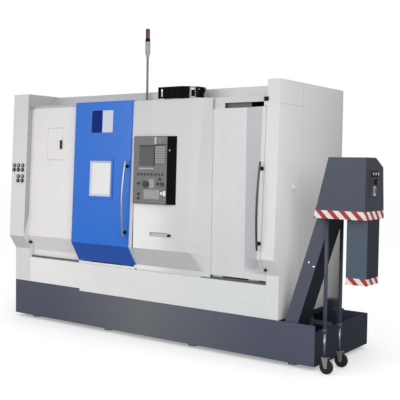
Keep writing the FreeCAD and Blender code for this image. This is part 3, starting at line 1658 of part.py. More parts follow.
def cabinet_door():
    """One leaf with folded edges, hinge barrels, a grip and a round switch."""
    y0 = base_depth + cabinet_depth + slide_gap
    y1 = y0 + cabinet_door_thickness
    x0 = cabinet_x
    x1 = cabinet_x + cabinet_width
    leaf = block(x0, x1, y0, y1, cabinet_low, cabinet_high)
    pocket = block(x0 + 20.0, x1 - 20.0, y0 - 1, y1 - 3.0, cabinet_low + 20.0, cabinet_high - 20.0)
    grip = block(x0 + 40.0, x0 + 60.0, y1 - 1, y1 + 24.0, 1150.0, 1300.0)
    switch = faceted_rod(x0 + 160.0, y1 - 1, 1500.0, Y_AXIS, 32.0, 12.0)
    lever = block(x0 + 152.0, x0 + 168.0, y1, y1 + 32.0, 1464.0, 1536.0)
    barrels = []
    for share in (0.12, 0.5, 0.88):
        z = cabinet_low + (cabinet_high - cabinet_low) * share - cabinet_hinge_length / 2
        barrels.append(rod(x1, y1, z, Z_AXIS, cabinet_hinge_radius, cabinet_hinge_length))
    return union([leaf.cut(pocket), grip, switch, lever] + barrels)


NODES = {
    "base_tank": base_tank(),
    "levelling_feet": levelling_feet(),
    "left_housing": left_housing(),
    "right_housing": right_housing(),
    "left_panel": left_panel(),
    "access_door": access_door(),
    "front_apron": front_apron(),
    "roof_cover": roof_cover(),
    "door_rails": door_rails(),
    "door_bumpers": door_bumpers(),
    "gauge_cluster": gauge_cluster(),
    "blue_door": blue_door(),
    "door_trim": door_trim(),
    "window_glass": window_glass(),
    "blue_door_handle": bowed_handle(door_handle_x),
    "pulpit_shell": pulpit_shell(),
    "console_body": console_body(),
    "console_screen": console_screen(),
    "console_keys": console_keys(),
    "handwheel": handwheel(),
    "override_knob": override_knob(),
    "cycle_start": cycle_start(),
    "clamp_knob": clamp_knob(),
    "right_door": right_door(),
    "right_door_handle": bowed_handle(right_handle_x),
    "slant_bed": slant_bed(),
    "bed_ways": bed_ways(),
    "headstock": headstock(),
    "splash_wall": splash_wall(),
    "spindle_motor": spindle_motor(),
    "drive_belt": drive_belt(),
    "spindle": spindle(),
    "motor_pulley": motor_pulley(),
    "chuck_body": chuck_body(),
    "chuck_jaw_1": chuck_jaw(0),
    "chuck_jaw_2": chuck_jaw(1),
    "chuck_jaw_3": chuck_jaw(2),
    "carriage": carriage(),
    "cross_slide": cross_slide(),
    "turret": turret(),
    "ball_screw": ball_screw(),
    "tailstock": tailstock(),
    "quill": quill(),
    "conveyor_frame": conveyor_frame(),
    "conveyor_belt": conveyor_belt(),
    "conveyor_shaft": conveyor_shaft(),
    "conveyor_hood": conveyor_hood(),
    "conveyor_chute": conveyor_chute(),
    "conveyor_legs": conveyor_legs(),
    "conveyor_stop": conveyor_stop(),
    "front_caster_fork": caster_fork(front_caster_y),
    "rear_caster_fork": caster_fork(rear_caster_y),
    "front_caster_wheel": caster_wheel(front_caster_y),
    "rear_caster_wheel": caster_wheel(rear_caster_y),
    "coolant_pump": coolant_pump(),
    "signal_tower": signal_tower(),
    "signal_lens": signal_lens(),
    "cable_chain": cable_chain(),
    "electrical_cabinet": electrical_cabinet(),
    "cabinet_door": cabinet_door(),
}


def main():
    os.makedirs("parts", exist_ok=True)
    to_first_foot = Vector(-foot_stations[0], -foot_setback, 0)
    for name, shape in NODES.items():
        placed = shape.copy()
        placed.translate(to_first_foot)
        placed.exportStep(os.path.join("parts", name + ".step"))


main()
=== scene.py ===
import math

import bmesh
import bpy
from mathutils import Matrix, Vector


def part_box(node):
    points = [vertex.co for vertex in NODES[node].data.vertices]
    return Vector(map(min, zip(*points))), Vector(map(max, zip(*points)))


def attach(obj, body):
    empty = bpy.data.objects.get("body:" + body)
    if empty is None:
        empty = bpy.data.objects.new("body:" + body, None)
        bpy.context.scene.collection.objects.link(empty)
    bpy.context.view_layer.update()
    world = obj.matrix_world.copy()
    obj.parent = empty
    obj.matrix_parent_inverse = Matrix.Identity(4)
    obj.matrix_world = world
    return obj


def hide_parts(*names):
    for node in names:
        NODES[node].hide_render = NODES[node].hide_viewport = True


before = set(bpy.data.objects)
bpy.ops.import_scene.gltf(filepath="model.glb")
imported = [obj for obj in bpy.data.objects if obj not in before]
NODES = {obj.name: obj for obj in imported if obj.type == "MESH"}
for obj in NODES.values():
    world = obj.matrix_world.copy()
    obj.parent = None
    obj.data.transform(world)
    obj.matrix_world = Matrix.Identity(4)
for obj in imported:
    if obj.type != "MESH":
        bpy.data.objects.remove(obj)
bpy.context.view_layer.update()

# Places are in millimetres from the plinth's front left corner on the floor: x right, y back, z up.
PLINTH_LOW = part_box("base_tank")[0]
CORNER = Vector((PLINTH_LOW[0], PLINTH_LOW[1], 0.0)) * 1000.0


def at(x, y, z):
    """A place in millimetres, as metres in the row frame."""
    return (Vector((x, y, z)) + CORNER) / 1000.0


def span(node):
    """The lowest and highest corner of a solid, in millimetres."""
    low, high = (Vector(corner) * 1000.0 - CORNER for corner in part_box(node))
    return low, high


def centre(low, high):
    """The middle between two corners, as x, y and z."""
    return [(first + second) / 2 for first, second in zip(low, high)]


class Lean:
    """The leaning front of a solid, from its bend up to its top."""

    def __init__(self, node):
        points = [vert.co * 1000.0 - CORNER for vert in NODES[node].data.vertices]
        top_z = max(point.z for point in points)
        bend = min(points, key=lambda point: point.y)
        top = min((point for point in points if point.z > top_z - 1.0), key=lambda point: point.y)
        self.bend = bend
        self.slope = (top.y - bend.y) / (top.z - bend.z)
        self.out = Vector((0.0, -1.0, self.slope)).normalized()

    def y(self, z, proud=0.0):
        return self.bend.y + (z - self.bend.z) * self.slope - proud


# The front of the columns and doors, that of the pulpit, and that of the console.
FRONT = Lean("left_housing")
PULPIT_FRONT = Lean("pulpit_shell")
CONSOLE = Lean("console_body")


# ---------------- materials
def linear(r, g, b):
    """A colour read as 0 to 255 display values, in scene-linear terms."""
    def one(v):
        v = v / 255.0
        return v / 12.92 if v <= 0.04045 else ((v + 0.055) / 1.055) ** 2.4
    return (one(r), one(g), one(b), 1.0)


def grey(level):
    """A grey in scene-linear terms."""
    return (level, level, level, 1.0)


def add_node(tree, kind, *feeds, **settings):
    """A node with its settings, and pairs of a socket and the value or other output that goes into it."""
    made = tree.nodes.new(kind)
    for key, value in settings.items():
        setattr(made, key, value)
    for socket, value in feeds:
        if hasattr(value, "is_output"):
            tree.links.new(value, made.inputs[socket])
        else:
            made.inputs[socket].default_value = value
    return made


class Shader:
    """A node material built up step by step on a Principled shader; lengths in it are in metres."""

    def __init__(self, name, colour, rough=0.5, metal=0.0, **sockets):
        self.mat = bpy.data.materials.new(name)
        self.mat.use_nodes = True
        self.tree = self.mat.node_tree
        self.bsdf = self.tree.nodes["Principled BSDF"]
        self.colour = colour
        self.rough = rough
        sockets.update(Base_Color=colour, Roughness=rough, Metallic=metal)
        for key, value in sockets.items():
            self.bsdf.inputs[key.replace("_", " ")].default_value = value
        self.coords = self.node("ShaderNodeTexCoord").outputs["Object"]

    def node(self, kind, *feeds, **settings):
        return add_node(self.tree, kind, *feeds, **settings)

    def drive(self, output, socket):
        self.tree.links.new(output, self.bsdf.inputs[socket])

    def noise(self, scale, detail=3.0, rough=0.55, stretch=(1, 1, 1)):
        mapping = self.node("ShaderNodeMapping", ("Scale", stretch), ("Vector", self.coords))
        return self.node("ShaderNodeTexNoise", ("Scale", scale), ("Detail", detail), ("Roughness", rough),
                         ("Vector", mapping.outputs["Vector"])).outputs["Fac"]

    def ramp(self, fac, stops):
        """Colours along a value, from (place, colour) pairs."""
        ramp = self.node("ShaderNodeValToRGB", ("Fac", fac))
        elements = ramp.color_ramp.elements
        while len(elements) < len(stops):
            elements.new(0.5)
        for element, (place, colour) in zip(elements, stops):
            element.position = place
            element.color = colour
        return ramp.outputs["Color"]

    def mix(self, fac, a, b, kind="MIX"):
        made = self.node("ShaderNodeMix", (0, fac), (6, a), (7, b), data_type="RGBA", blend_type=kind)
        return made.outputs[2]

    def math(self, kind, a, b=0.0):
        return self.node("ShaderNodeMath", (0, a), (1, b), operation=kind).outputs[0]

    def multiply(self, shade):
        self.colour = self.mix(1.0, self.colour, shade, "MULTIPLY")
        return self

    def vary(self, scale, amount, detail=3.0, stretch=(1, 1, 1)):
        """Uneven colour: darker and lighter clouds of the paint."""
        fac = self.noise(scale, detail, 0.6, stretch)
        return self.multiply(self.ramp(fac, [(0.3, grey(1.0 - amount)), (0.7, grey(1.0 + amount * 0.6))]))

    def along(self, axis, start, end, first=0.0, last=1.0):
        """A value that runs from first to last between two places on an axis, in metres."""
        split = self.node("ShaderNodeSeparateXYZ", (0, self.coords))
        return self.node("ShaderNodeMapRange", ("From Min", start), ("From Max", end), ("To Min", first),
                         ("To Max", last), ("Value", split.outputs[axis])).outputs["Result"]

    def fade(self, amount):
        """Painted shade: a little greyer from the middle of the housing up to its top."""
        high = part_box("left_housing")[1][2]
        rise = self.along("Z", high * TOP_SHADE_START, high)
        return self.multiply(self.ramp(rise, [(0.0, grey(1.0)), (1.0, grey(1.0 - amount))]))

    def bevelled(self, radius):
        """The normal of the surface with its edges rounded."""
        return self.node("ShaderNodeBevel", ("Radius", radius), samples=4).outputs["Normal"]

    def wear(self, colour, width, amount):
        """Worn or dusty edges, found from how far the bevelled normal turns from the true one."""
        normal = self.node("ShaderNodeNewGeometry").outputs["Normal"]
        turn = self.bevelled(width)
        dot = self.node("ShaderNodeVectorMath", (0, turn), (1, normal), operation="DOT_PRODUCT")
        edge = self.ramp(dot.outputs["Value"], [(0.80, grey(1.0)), (0.99, grey(0.0))])
        patch = self.ramp(self.noise(60.0, 4.0), [(0.42, grey(0.0)), (0.62, grey(1.0))])
        mask = self.math("MULTIPLY", edge, self.math("MULTIPLY", patch, amount))
        self.colour = self.mix(mask, self.colour, colour)

    def rough_noise(self, scale, amount, stretch=(1, 1, 1)):
        low, high = max(self.rough - amount, 0.02), min(self.rough + amount, 1.0)
        spread = self.node("ShaderNodeMapRange", ("To Min", low), ("To Max", high),
                           ("Value", self.noise(scale, 3.0, 0.6, stretch)))
        self.drive(spread.outputs["Result"], "Roughness")
        return self

    def bump(self, scale, distance, strength=1.0, detail=2.0, stretch=(1, 1, 1), edge=0.0):
        rounding = [("Normal", self.bevelled(edge))] if edge else []
        made = self.node("ShaderNodeBump", ("Strength", strength), ("Distance", distance),
                         ("Height", self.noise(scale, detail, 0.5, stretch)), *rounding)
        self.drive(made.outputs["Normal"], "Normal")
        return self

    def done(self):
        self.drive(self.colour, "Base Color")
        return self.mat


# Where the painted shade towards the top begins, as a share of the housing's height.
TOP_SHADE_START = 0.56
ENAMEL_EDGE = 0.003
STREAKS = (1.0, 1.0, 0.04)
DUST = (160, 158, 152)
SHADE_DUST = (150, 148, 142)
COOL_DUST = (120, 122, 128)


def paint(name, colour, rough, grime=SHADE_DUST, peel=0.00025, coat=0.0, wear=0.5, streaks=0.0, fade=0.0,
          gloss=0.5, painted_light=None):
    """Sprayed enamel on sheet steel: orange peel, faint clouds, rounded and slightly worn edges. Its optional
    tone and its darkening towards the top are painted light and shade.
    """
    shader = Shader(name, linear(*colour), rough, Coat_Weight=coat, Coat_Roughness=0.12,
                    Specular_IOR_Level=gloss)
    if painted_light:
        shader.colour = painted_light(shader)
    shader.vary(1.3, 0.025).vary(14.0, 0.02)
    if streaks:
        shader.vary(5.0, streaks, 1.0, STREAKS)
    if fade:
        shader.fade(fade)
    shader.wear(linear(*grime), ENAMEL_EDGE, wear)
    return shader.rough_noise(25.0, 0.05).bump(420.0, peel, 0.35, edge=ENAMEL_EDGE).done()


def metal(name, colour, rough, stretch, grain=0.00012, aniso=0.0):
    """Machined metal: fine lines along one direction."""
    shader = Shader(name, linear(*colour), rough, 1.0, Anisotropic=aniso)
    shader.vary(90.0, 0.10, 4.0, stretch).vary(3.0, 0.04)
    return shader.rough_noise(120.0, 0.08, stretch).bump(300.0, grain, 0.5, 3.0, stretch, edge=0.0008).done()


def plastic(name, colour, rough, grain=0.00008, **sockets):
    """Moulded plastic or rubber with a fine grain."""
    shader = Shader(name, linear(*colour), rough, **sockets)
    shader.vary(30.0, 0.05)
    return shader.rough_noise(200.0, 0.05).bump(1500.0, grain, 0.4, edge=0.001).done()


def across(node, *stops):
    """Painted light and shade: a tone by the place between a solid's left end (0) and its right end (1)."""
    low, high = (corner[0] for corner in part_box(node))

    def painted_light(shader):
        return shader.ramp(shader.along("X", low, high), [(place, linear(*shade)) for place, shade in stops])
    return painted_light


# Where the pulpit's painted highlight lies: its reach from the left end, and the heights where it is full and
# where it is gone, in metres.
PULPIT_HIGHLIGHT_REACH = 0.50
PULPIT_HIGHLIGHT_FULL = 1.25
PULPIT_HIGHLIGHT_NONE = 1.85


def pulpit_highlight(shader):
    """The pulpit's enamel with a painted highlight, paler round the grip than towards its top and right."""
    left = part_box("pulpit_shell")[0][0]
    highlight = shader.math("MULTIPLY", shader.along("X", left, left + PULPIT_HIGHLIGHT_REACH, 1.0, 0.0),
                       shader.along("Z", PULPIT_HIGHLIGHT_FULL, PULPIT_HIGHLIGHT_NONE, 1.0, 0.0))
    return shader.ramp(highlight, [(0.0, linear(220, 221, 221)), (0.8, linear(253, 253, 253))])


# The side wall's painted shade is near minus depth times far. Near and far are a level plus shares of the
# fall and of its square. Depth runs from 0 at the front to 1 at the back, the fall from 0 at the top to 1 at
# the foot.
SIDE_NEAR = (0.88, 0.16, 0.60)
SIDE_FAR = (0.24, 0.28, 1.05)
SIDE_LEVEL = 0.95


def side_shade(shader):
    """The right side wall, greyer towards its lower rear corner: painted shade."""
    (_, front, low), (_, back, high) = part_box("right_housing")
    depth = shader.along("Y", front, back)
    fall = shader.along("Z", high, low)
    square = shader.math("MULTIPLY", fall, fall)

    def curve(level, line, bend):
        rise = shader.math("ADD", shader.math("MULTIPLY", fall, line), shader.math("MULTIPLY", square, bend))
        return shader.math("ADD", level, rise)

    painted_light = shader.math("SUBTRACT", curve(*SIDE_NEAR), shader.math("MULTIPLY", depth, curve(*SIDE_FAR)))
    painted_light = shader.math("MULTIPLY", painted_light, SIDE_LEVEL)
    return shader.ramp(painted_light, [(0.0, grey(0.0)), (1.0, linear(251, 251, 250))])


# Painted light along the row: a painted sheen makes the plinth greyer along its middle, painted shade makes
# the shelf's strip greyer towards its left end, and painted light makes the apron warmest and palest there.
SLATE_SHEEN = across("base_tank", (0.16, (78, 83, 101)), (0.50, (107, 110, 116)), (0.86, (76, 81, 101)))
HEADER_SHADE = across("roof_cover", (0.13, (188, 190, 194)), (0.42, (184, 187, 193)), (0.52, (196, 197, 199)),
                     (0.66, (208, 209, 210)))
APRON_LIGHT = across("front_apron", (0.05, (253, 251, 250)), (0.45, (242, 241, 240)), (0.85, (228, 232, 233)))

WHITE = paint("white_enamel", (246, 243, 242), 0.38, DUST, fade=0.12)
WHITE_BRIGHT = paint("bright_enamel", (224, 224, 224), 0.34, (160, 158, 150), fade=0.05)
# A darker copy of the pulpit's white for its lower bend: painted shade.
PULPIT_BEND_SHADED = paint("pulpit_bend_shaded", (206, 206, 207), 0.40)
# The pulpit's enamel, with a painted highlight round the grip.
PULPIT = paint("pulpit_enamel", (222, 222, 222), 0.34, (160, 158, 150), streaks=0.03, fade=0.14,
               painted_light=pulpit_highlight)
DOOR = paint("door_enamel", (224, 224, 226), 0.38, DUST, streaks=0.035, fade=0.08)
# A darker copy of the door's white for the right door's slanted fold: painted shade.
DOOR_FOLD_SHADED = paint("door_fold_shaded", (203, 204, 208), 0.40)
# A darker copy of the column's white for the lower bend of the left column: painted shade.
COLUMN_BEND_SHADED = paint("column_bend_shaded", (219, 218, 217), 0.42)
# A grey copy of the column's white for the upper inner side of the left column: painted shade.
COLUMN_INNER_SHADED = paint("column_inner_shaded", (184, 184, 186), 0.45, (140, 138, 132))
COLUMN = paint("column_enamel", (232, 232, 232), 0.40, fade=0.12)
# The right side wall's white, with painted shade towards its lower rear corner.
SIDE_SHADED = paint("side_shaded_enamel", (240, 240, 240), 0.42, painted_light=side_shade)
HEADER = paint("header_enamel", (196, 197, 199), 0.42, painted_light=HEADER_SHADE)
# A grey copy of the roof cover's white for its fascia and shelf faces: painted shade.
FASCIA_SHADED = paint("shelf_shaded_enamel", (194, 195, 197), 0.42, (140, 138, 132))
APRON = paint("apron_enamel", (242, 241, 240), 0.38, DUST, painted_light=APRON_LIGHT)
BLUE = paint("blue_enamel", (20, 112, 219), 0.30, (36, 70, 140), coat=0.2, fade=0.05, gloss=0.4)
# A darker copy of the blue for the door's lower bend: painted shade.
BLUE_BEND_SHADED = paint("blue_bend_shaded", (16, 84, 188), 0.34, (30, 60, 130), coat=0.1)
SLATE = paint("slate_enamel", (86, 90, 104), 0.48, COOL_DUST, wear=0.3, painted_light=SLATE_SHEEN)
# A dark copy of the slate for the plinth's right end and the chute's right face: painted shade.
SLATE_SHADED = paint("slate_shaded", (30, 37, 50), 0.60, (80, 82, 88), wear=0.2, gloss=0.25)
CONVEYOR = paint("conveyor_enamel", (79, 83, 98), 0.45, COOL_DUST, wear=0.3, gloss=0.4)
CHUTE = paint("chute_enamel", (77, 89, 105), 0.45, COOL_DUST, wear=0.3, gloss=0.4)
HOOD = paint("hood_enamel", (72, 78, 94), 0.45, COOL_DUST, wear=0.3, gloss=0.4)
# The coolant pump's own dark paint, and a dark copy of the hood's slate for its right face: painted shade.
PUMP_AND_HOOD_SHADE = paint("pump_paint_and_hood_shade", (48, 52, 64), 0.50, (100, 102, 108), wear=0.25, gloss=0.25)
# A near black copy of the slate for the trough's lower right faces: painted shade.
FRAME_UNDERSIDE_SHADE = paint("frame_underside_shade", (24, 30, 42), 0.65, (50, 50, 52), wear=0.15, gloss=0.2)
RAIL = paint("rail_enamel", (98, 99, 102), 0.50, (140, 140, 140))
CAST = paint("cast_enamel", (150, 160, 160), 0.45, (90, 92, 92), peel=0.0009)
MOTOR = paint("motor_enamel", (52, 54, 58), 0.45, (110, 110, 110), wear=0.4)
NAVY = paint("navy_plate", (8, 40, 122), 0.55, (40, 60, 120), gloss=0.1)
PALE_PLATE = paint("pale_plate", (208, 215, 232), 0.40, (150, 152, 160))
STEEL_X = metal("ground_steel", (186, 188, 192), 0.32, (0.02, 1, 1), aniso=0.4)
STEEL = metal("turned_steel", (190, 191, 194), 0.30, (1, 0.04, 0.04), aniso=0.3)
CHROME = metal("polished_steel", (214, 216, 220), 0.14, (1, 1, 1), grain=0.00003)
# Satin steel with a blue tint, a painted reflection of the blue door, for its handle.
HANDLE_BLUE_REFLECTION = metal("satin_steel_blue_reflection", (170, 178, 196), 0.24, (1, 1, 0.03), grain=0.00005)
HANDLE_DARK = metal("dark_steel", (84, 86, 90), 0.35, (1, 1, 0.03), grain=0.00005)
TUBE = metal("plated_tube", (150, 152, 156), 0.30, (1, 1, 0.05), grain=0.00005)
ZINC = metal("zinc_plate", (176, 178, 182), 0.36, (1, 1, 1))
RUBBER = plastic("black_rubber", (26, 26, 28), 0.75, 0.0004)
BLACK = plastic("black_plastic", (12, 14, 18), 0.62, Specular_IOR_Level=0.2)
CHEEK_BLACK = plastic("cheek_black", (6, 8, 13), 0.72, Specular_IOR_Level=0.1)
SWITCHGEAR = plastic("switchgear", (74, 78, 84), 0.5)
GREY = plastic("console_grey", (119, 119, 120), 0.55)
MID_KEY = plastic("mid_key", (166, 166, 168), 0.50)
LIGHT_KEY = plastic("light_key", (198, 198, 200), 0.45)
FIELD = plastic("key_field", (110, 110, 112), 0.55)
DARK_KEY = plastic("dark_key", (64, 62, 62), 0.50)
LAMP_GREY = plastic("lamp_grey", (168, 170, 172), 0.45)
POLE = plastic("pole_enamel", (120, 121, 124), 0.40)
WHITE_PLASTIC = plastic("white_plastic", (246, 246, 245), 0.40)
PINK_LENS = plastic("pale_button", (214, 172, 174), 0.30, Coat_Weight=0.3)
STOP_RED = plastic("stop_red", (74, 22, 18), 0.45)


screen = Shader("screen_face", linear(86, 85, 85), 0.30, Coat_Weight=0.05, Coat_Roughness=0.1,
                Specular_IOR_Level=0.25)
SCREEN = screen.vary(5.0, 0.16).vary(40.0, 0.03).rough_noise(60.0, 0.03).bump(900.0, 0.00004, 0.3).done()
# A laminated guard window: pale, slightly hazed, with a soft gloss.
pane = Shader("pane_glass", linear(248, 247, 246), 0.16, Transmission_Weight=0.03, IOR=1.45, Coat_Weight=0.4)
PANE = pane.vary(2.0, 0.03).vary(60.0, 0.01).rough_noise(12.0, 0.05).bump(6.0, 0.0004, 0.2).done()
lens = Shader("red_lens", linear(88, 10, 14), 0.22, Transmission_Weight=0.15, IOR=1.49, Coat_Weight=0.3)
LENS = lens.vary(60.0, 0.08).rough_noise(40.0, 0.04).bump(260.0, 0.0004, 0.5, stretch=(0.02, 0.02, 1)).done()
BAND_PITCH = 0.098
BAND_WOBBLE = 0.006


def hazard_material():
    """Diagonal red and white bands painted round an edge, with scuffed borders."""
    shader = Shader("hazard_bands", linear(235, 232, 228), 0.45)
    x, y, z = shader.node("ShaderNodeSeparateXYZ", (0, shader.coords)).outputs
    slant = shader.math("ADD", shader.math("ADD", x, y), z)
    wobble = shader.math("MULTIPLY", shader.math("SUBTRACT", shader.noise(35.0, 2.0), 0.5), BAND_WOBBLE)
    phase = shader.math("FRACT", shader.math("DIVIDE", shader.math("ADD", slant, wobble), BAND_PITCH))
    shader.colour = shader.ramp(phase, [(0.0, linear(178, 40, 46)), (0.47, linear(168, 38, 44)),
                                        (0.50, linear(236, 233, 229)), (0.97, linear(232, 229, 225))])
    shader.vary(40.0, 0.06)
    return shader.rough_noise(60.0, 0.06).bump(400.0, 0.0001, 0.3).done()


HAZARD = hazard_material()

SHOWN = (
    (SLATE, "base_tank"), (COLUMN, "left_housing right_housing"), (APRON, "front_apron"),
    (WHITE, "left_panel access_door splash_wall electrical_cabinet cabinet_door"), (RAIL, "door_rails"),
    (ZINC, "levelling_feet front_caster_fork rear_caster_fork"), (BLACK, "gauge_cluster clamp_knob"),
    (RUBBER, "door_bumpers drive_belt front_caster_wheel rear_caster_wheel"), (BLUE, "blue_door"),
    (WHITE_BRIGHT, "door_trim"), (PANE, "window_glass"), (HANDLE_BLUE_REFLECTION, "blue_door_handle right_door_handle"),
    (PULPIT, "pulpit_shell"), (CHEEK_BLACK, "console_body cable_chain"), (SCREEN, "console_screen"),
    (MID_KEY, "console_keys"), (DARK_KEY, "handwheel override_knob"), (DOOR, "right_door"),
    (WHITE_PLASTIC, "cycle_start signal_tower"), (STEEL_X, "bed_ways conveyor_belt"), (FASCIA_SHADED, "roof_cover"),
    (CAST, "slant_bed headstock carriage cross_slide tailstock"), (CHROME, "ball_screw quill"),
    (STEEL, "spindle motor_pulley chuck_body chuck_jaw_1 chuck_jaw_2 chuck_jaw_3 turret conveyor_shaft"),
    (CONVEYOR, "conveyor_frame"), (HOOD, "conveyor_hood conveyor_legs"), (CHUTE, "conveyor_chute"),
    (MOTOR, "spindle_motor"), (STOP_RED, "conveyor_stop"), (PUMP_AND_HOOD_SHADE, "coolant_pump"), (LENS, "signal_lens"),
)
for material, names in SHOWN:
    for name in names.split():
        materials = NODES[name].data.materials
        materials.clear()
        materials.append(material)


def repaint(node, material, wanted):
    """Another material on the faces of a solid that a test picks by their middle and normal: a real other
    finish, or a copy of the same paint with painted light or shade.
    """
    mesh = NODES[node].data
    mesh.materials.append(material)
    index = len(mesh.materials) - 1
    for polygon in mesh.polygons:
        if wanted(polygon.center * 1000.0 - CORNER, polygon.normal):
            polygon.material_index = index


# In the tests on a normal, -y is the front, +x the right end and -z the underside.
ROOF_FRONT = 500.0
UPPER_HALF = 1300.0
LEFT_END = 600.0
CABINET_RIM = 40.0
CHAIN_BRACKET_LEFT = 2225.0
CHAIN_BRACKET_FRONT = 100.0
CHAIN_END_LEFT = 2255.0
CHAIN_END_FRONT = 180.0
cabinet_low, cabinet_high = span("electrical_cabinet")
tank_low, tank_high = span("base_tank")
column_edge = span("right_housing")[0].x
repaint("roof_cover", HEADER, lambda middle, normal: normal.y < -0.9 and middle.y < ROOF_FRONT)
repaint("roof_cover", COLUMN, lambda middle, normal: normal.y > 0.9 or normal.z > 0.9)
repaint("left_housing", COLUMN_BEND_SHADED, lambda middle, normal: normal.y < -0.5 and normal.z < -0.2)
repaint("electrical_cabinet", SWITCHGEAR, lambda middle, normal: (
    cabinet_low.x + CABINET_RIM < middle.x < cabinet_high.x - CABINET_RIM
    and cabinet_low.z + CABINET_RIM < middle.z < cabinet_high.z - CABINET_RIM
    and cabinet_low.y + CABINET_RIM < middle.y))
repaint("right_housing", SIDE_SHADED, lambda middle, normal: normal.x > 0.7)
repaint("left_housing", COLUMN_INNER_SHADED, lambda middle, normal: normal.x > 0.7 and middle.z > UPPER_HALF)
repaint("cable_chain", MID_KEY, lambda middle, normal: (
    (middle.x > CHAIN_BRACKET_LEFT and middle.y < CHAIN_BRACKET_FRONT and normal.y < -0.5)
    or (middle.x > CHAIN_END_LEFT and middle.y > CHAIN_END_FRONT)))
repaint("right_door", DOOR_FOLD_SHADED, lambda middle, normal: -0.9 < normal.x < -0.2)
repaint("blue_door", BLUE_BEND_SHADED, lambda middle, normal: normal.y < -0.5 and normal.z < -0.3)
repaint("pulpit_shell", PULPIT_BEND_SHADED, lambda middle, normal: normal.y < -0.5 and normal.z < -0.2)
repaint("door_bumpers", MID_KEY, lambda middle, normal: middle.x < LEFT_END and middle.z > UPPER_HALF)
repaint("base_tank", SLATE_SHADED,
        lambda middle, normal: normal.x > 0.7 or (middle.x > column_edge and normal.y > -0.7))
repaint("conveyor_hood", PUMP_AND_HOOD_SHADE, lambda middle, normal: normal.x > 0.7)
repaint("conveyor_chute", SLATE_SHADED, lambda middle, normal: normal.x > 0.7)
repaint("conveyor_frame", FRAME_UNDERSIDE_SHADE, lambda middle, normal: normal.z < -0.2 and normal.x > 0.2)


# ---------------- mesh helpers
def piece(name, body, materials, build, bevel=0.0, replaces=()):
    """A mesh object from a function that fills a bmesh, in millimetres, riding on a CAD body."""
    mesh = bpy.data.meshes.new(name)
    bm = bmesh.new()
    build(bm)
    for vert in bm.verts:
        vert.co = at(*vert.co)
    bmesh.ops.recalc_face_normals(bm, faces=bm.faces)
    bm.to_mesh(mesh)
    bm.free()
    obj = bpy.data.objects.new(name, mesh)
    bpy.context.scene.collection.objects.link(obj)
    for material in materials:
        mesh.materials.append(material)
    if bevel:
        made = obj.modifiers.new("edges", "BEVEL")
        made.width = bevel / 1000.0
        made.segments = 2
        made.limit_method = "ANGLE"
        made.harden_normals = False
    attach(obj, body)
    if replaces:
        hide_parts(*replaces)


def add_walls(bm, low, high):
    """The faces between two closed rings of vertices."""
    quads = zip(low, low[1:] + low[:1], high[1:] + high[:1], high)
    return [bm.faces.new(quad) for quad in quads]


def add_prism(bm, points, offset, index=0):
    """A closed solid from a ring of points and an offset vector."""
    low = [bm.verts.new(Vector(point)) for point in points]
    high = [bm.verts.new(Vector(point) + Vector(offset)) for point in points]
    for face in [bm.faces.new(low[::-1]), bm.faces.new(high)] + add_walls(bm, low, high):
        face.material_index = index


def rounded(x0, x1, z0, z1, corner=0.0):
    """The outline of a rectangle, rounded where a corner radius is given."""
    if corner <= 0:
        return [(x0, z0), (x1, z0), (x1, z1), (x0, z1)]
    ring = []
    for cx, cz, start in ((x1 - corner, z0 + corner, -90), (x1 - corner, z1 - corner, 0),
                          (x0 + corner, z1 - corner, 90), (x0 + corner, z0 + corner, 180)):
        for step in range(5):
            angle = math.radians(start + step * 22.5)
            ring.append((cx + corner * math.cos(angle), cz + corner * math.sin(angle)))
    return ring


def add_box(bm, low, high, index=0):
    """A box between two corners."""
    ring = [(x, y, low[2]) for x, y in rounded(low[0], high[0], low[1], high[1])]
    add_prism(bm, ring, (0, 0, high[2] - low[2]), index)


def round_steps(count):
    """The cosine and sine at equal steps round a circle."""
    for step in range(count):
        angle = 2 * math.pi * step / count
        yield math.cos(angle), math.sin(angle)


def ring_round(middle, side, other, radius, steps):
    """Points on a circle."""
    return [Vector(middle) + (side * cos + other * sin) * radius for cos, sin in round_steps(steps)]


def add_skin(bm, rings, index=0):
    """A smooth skin through rings of points, with flat ends."""
    made = [[bm.verts.new(point) for point in ring] for ring in rings]
    for low, high in zip(made, made[1:]):
        for face in add_walls(bm, low, high):
            face.material_index = index
            face.smooth = True
    for ring in (made[0][::-1], made[-1]):
        bm.faces.new(ring).material_index = index


def add_lathe(bm, start, axis, profile, steps, index=0):
    """A turned form: the profile is a list of (distance along the axis, radius)."""
    axis = Vector(axis).normalized()
    side = axis.orthogonal().normalized()
    other = axis.cross(side)
    add_skin(bm, [ring_round(Vector(start) + axis * along, side, other, max(radius, 0.02), steps)
                  for along, radius in profile], index)


def plate(bm, lean, x0, x1, z0, z1, proud, depth, corner=0.0, index=0):
    """A rounded plate that stands `proud` of a leaning front."""
    points = [(x, lean.y(z, proud), z) for x, z in rounded(x0, x1, z0, z1, corner)]
    add_prism(bm, points, (0, depth, 0), index)


def knob(bm, lean, x, z, proud, profile, steps, index=0):
    """A turned knob square to a leaning front."""
    add_lathe(bm, (x, lean.y(z, proud), z), lean.out, profile, steps, index)


def studs(bm, lean, x, z, radius, count, half, proud, depth, index=0):
    """Small square studs round a circle on a leaning front."""
    for cos, sin in round_steps(count):
        right, up = x + radius * cos, z + radius * sin
        plate(bm, lean, right - half, right + half, up - half, up + half, proud, depth, index=index)


def border(inner, outer):
    """The left, right, lower and upper strips between two rectangles, each given as x0, x1, z0, z1."""
    x0, x1, z0, z1 = inner
    left, right, low, high = outer
    return (left, x0, low, high), (x1, right, low, high), (x0, x1, low, z0), (x0, x1, z1, high)


def screw_head(radius, height):
    """The profile of a low domed screw head."""
    return [(-0.5, radius), (height * 0.5, radius), (height, radius * 0.7), (height, 0)]


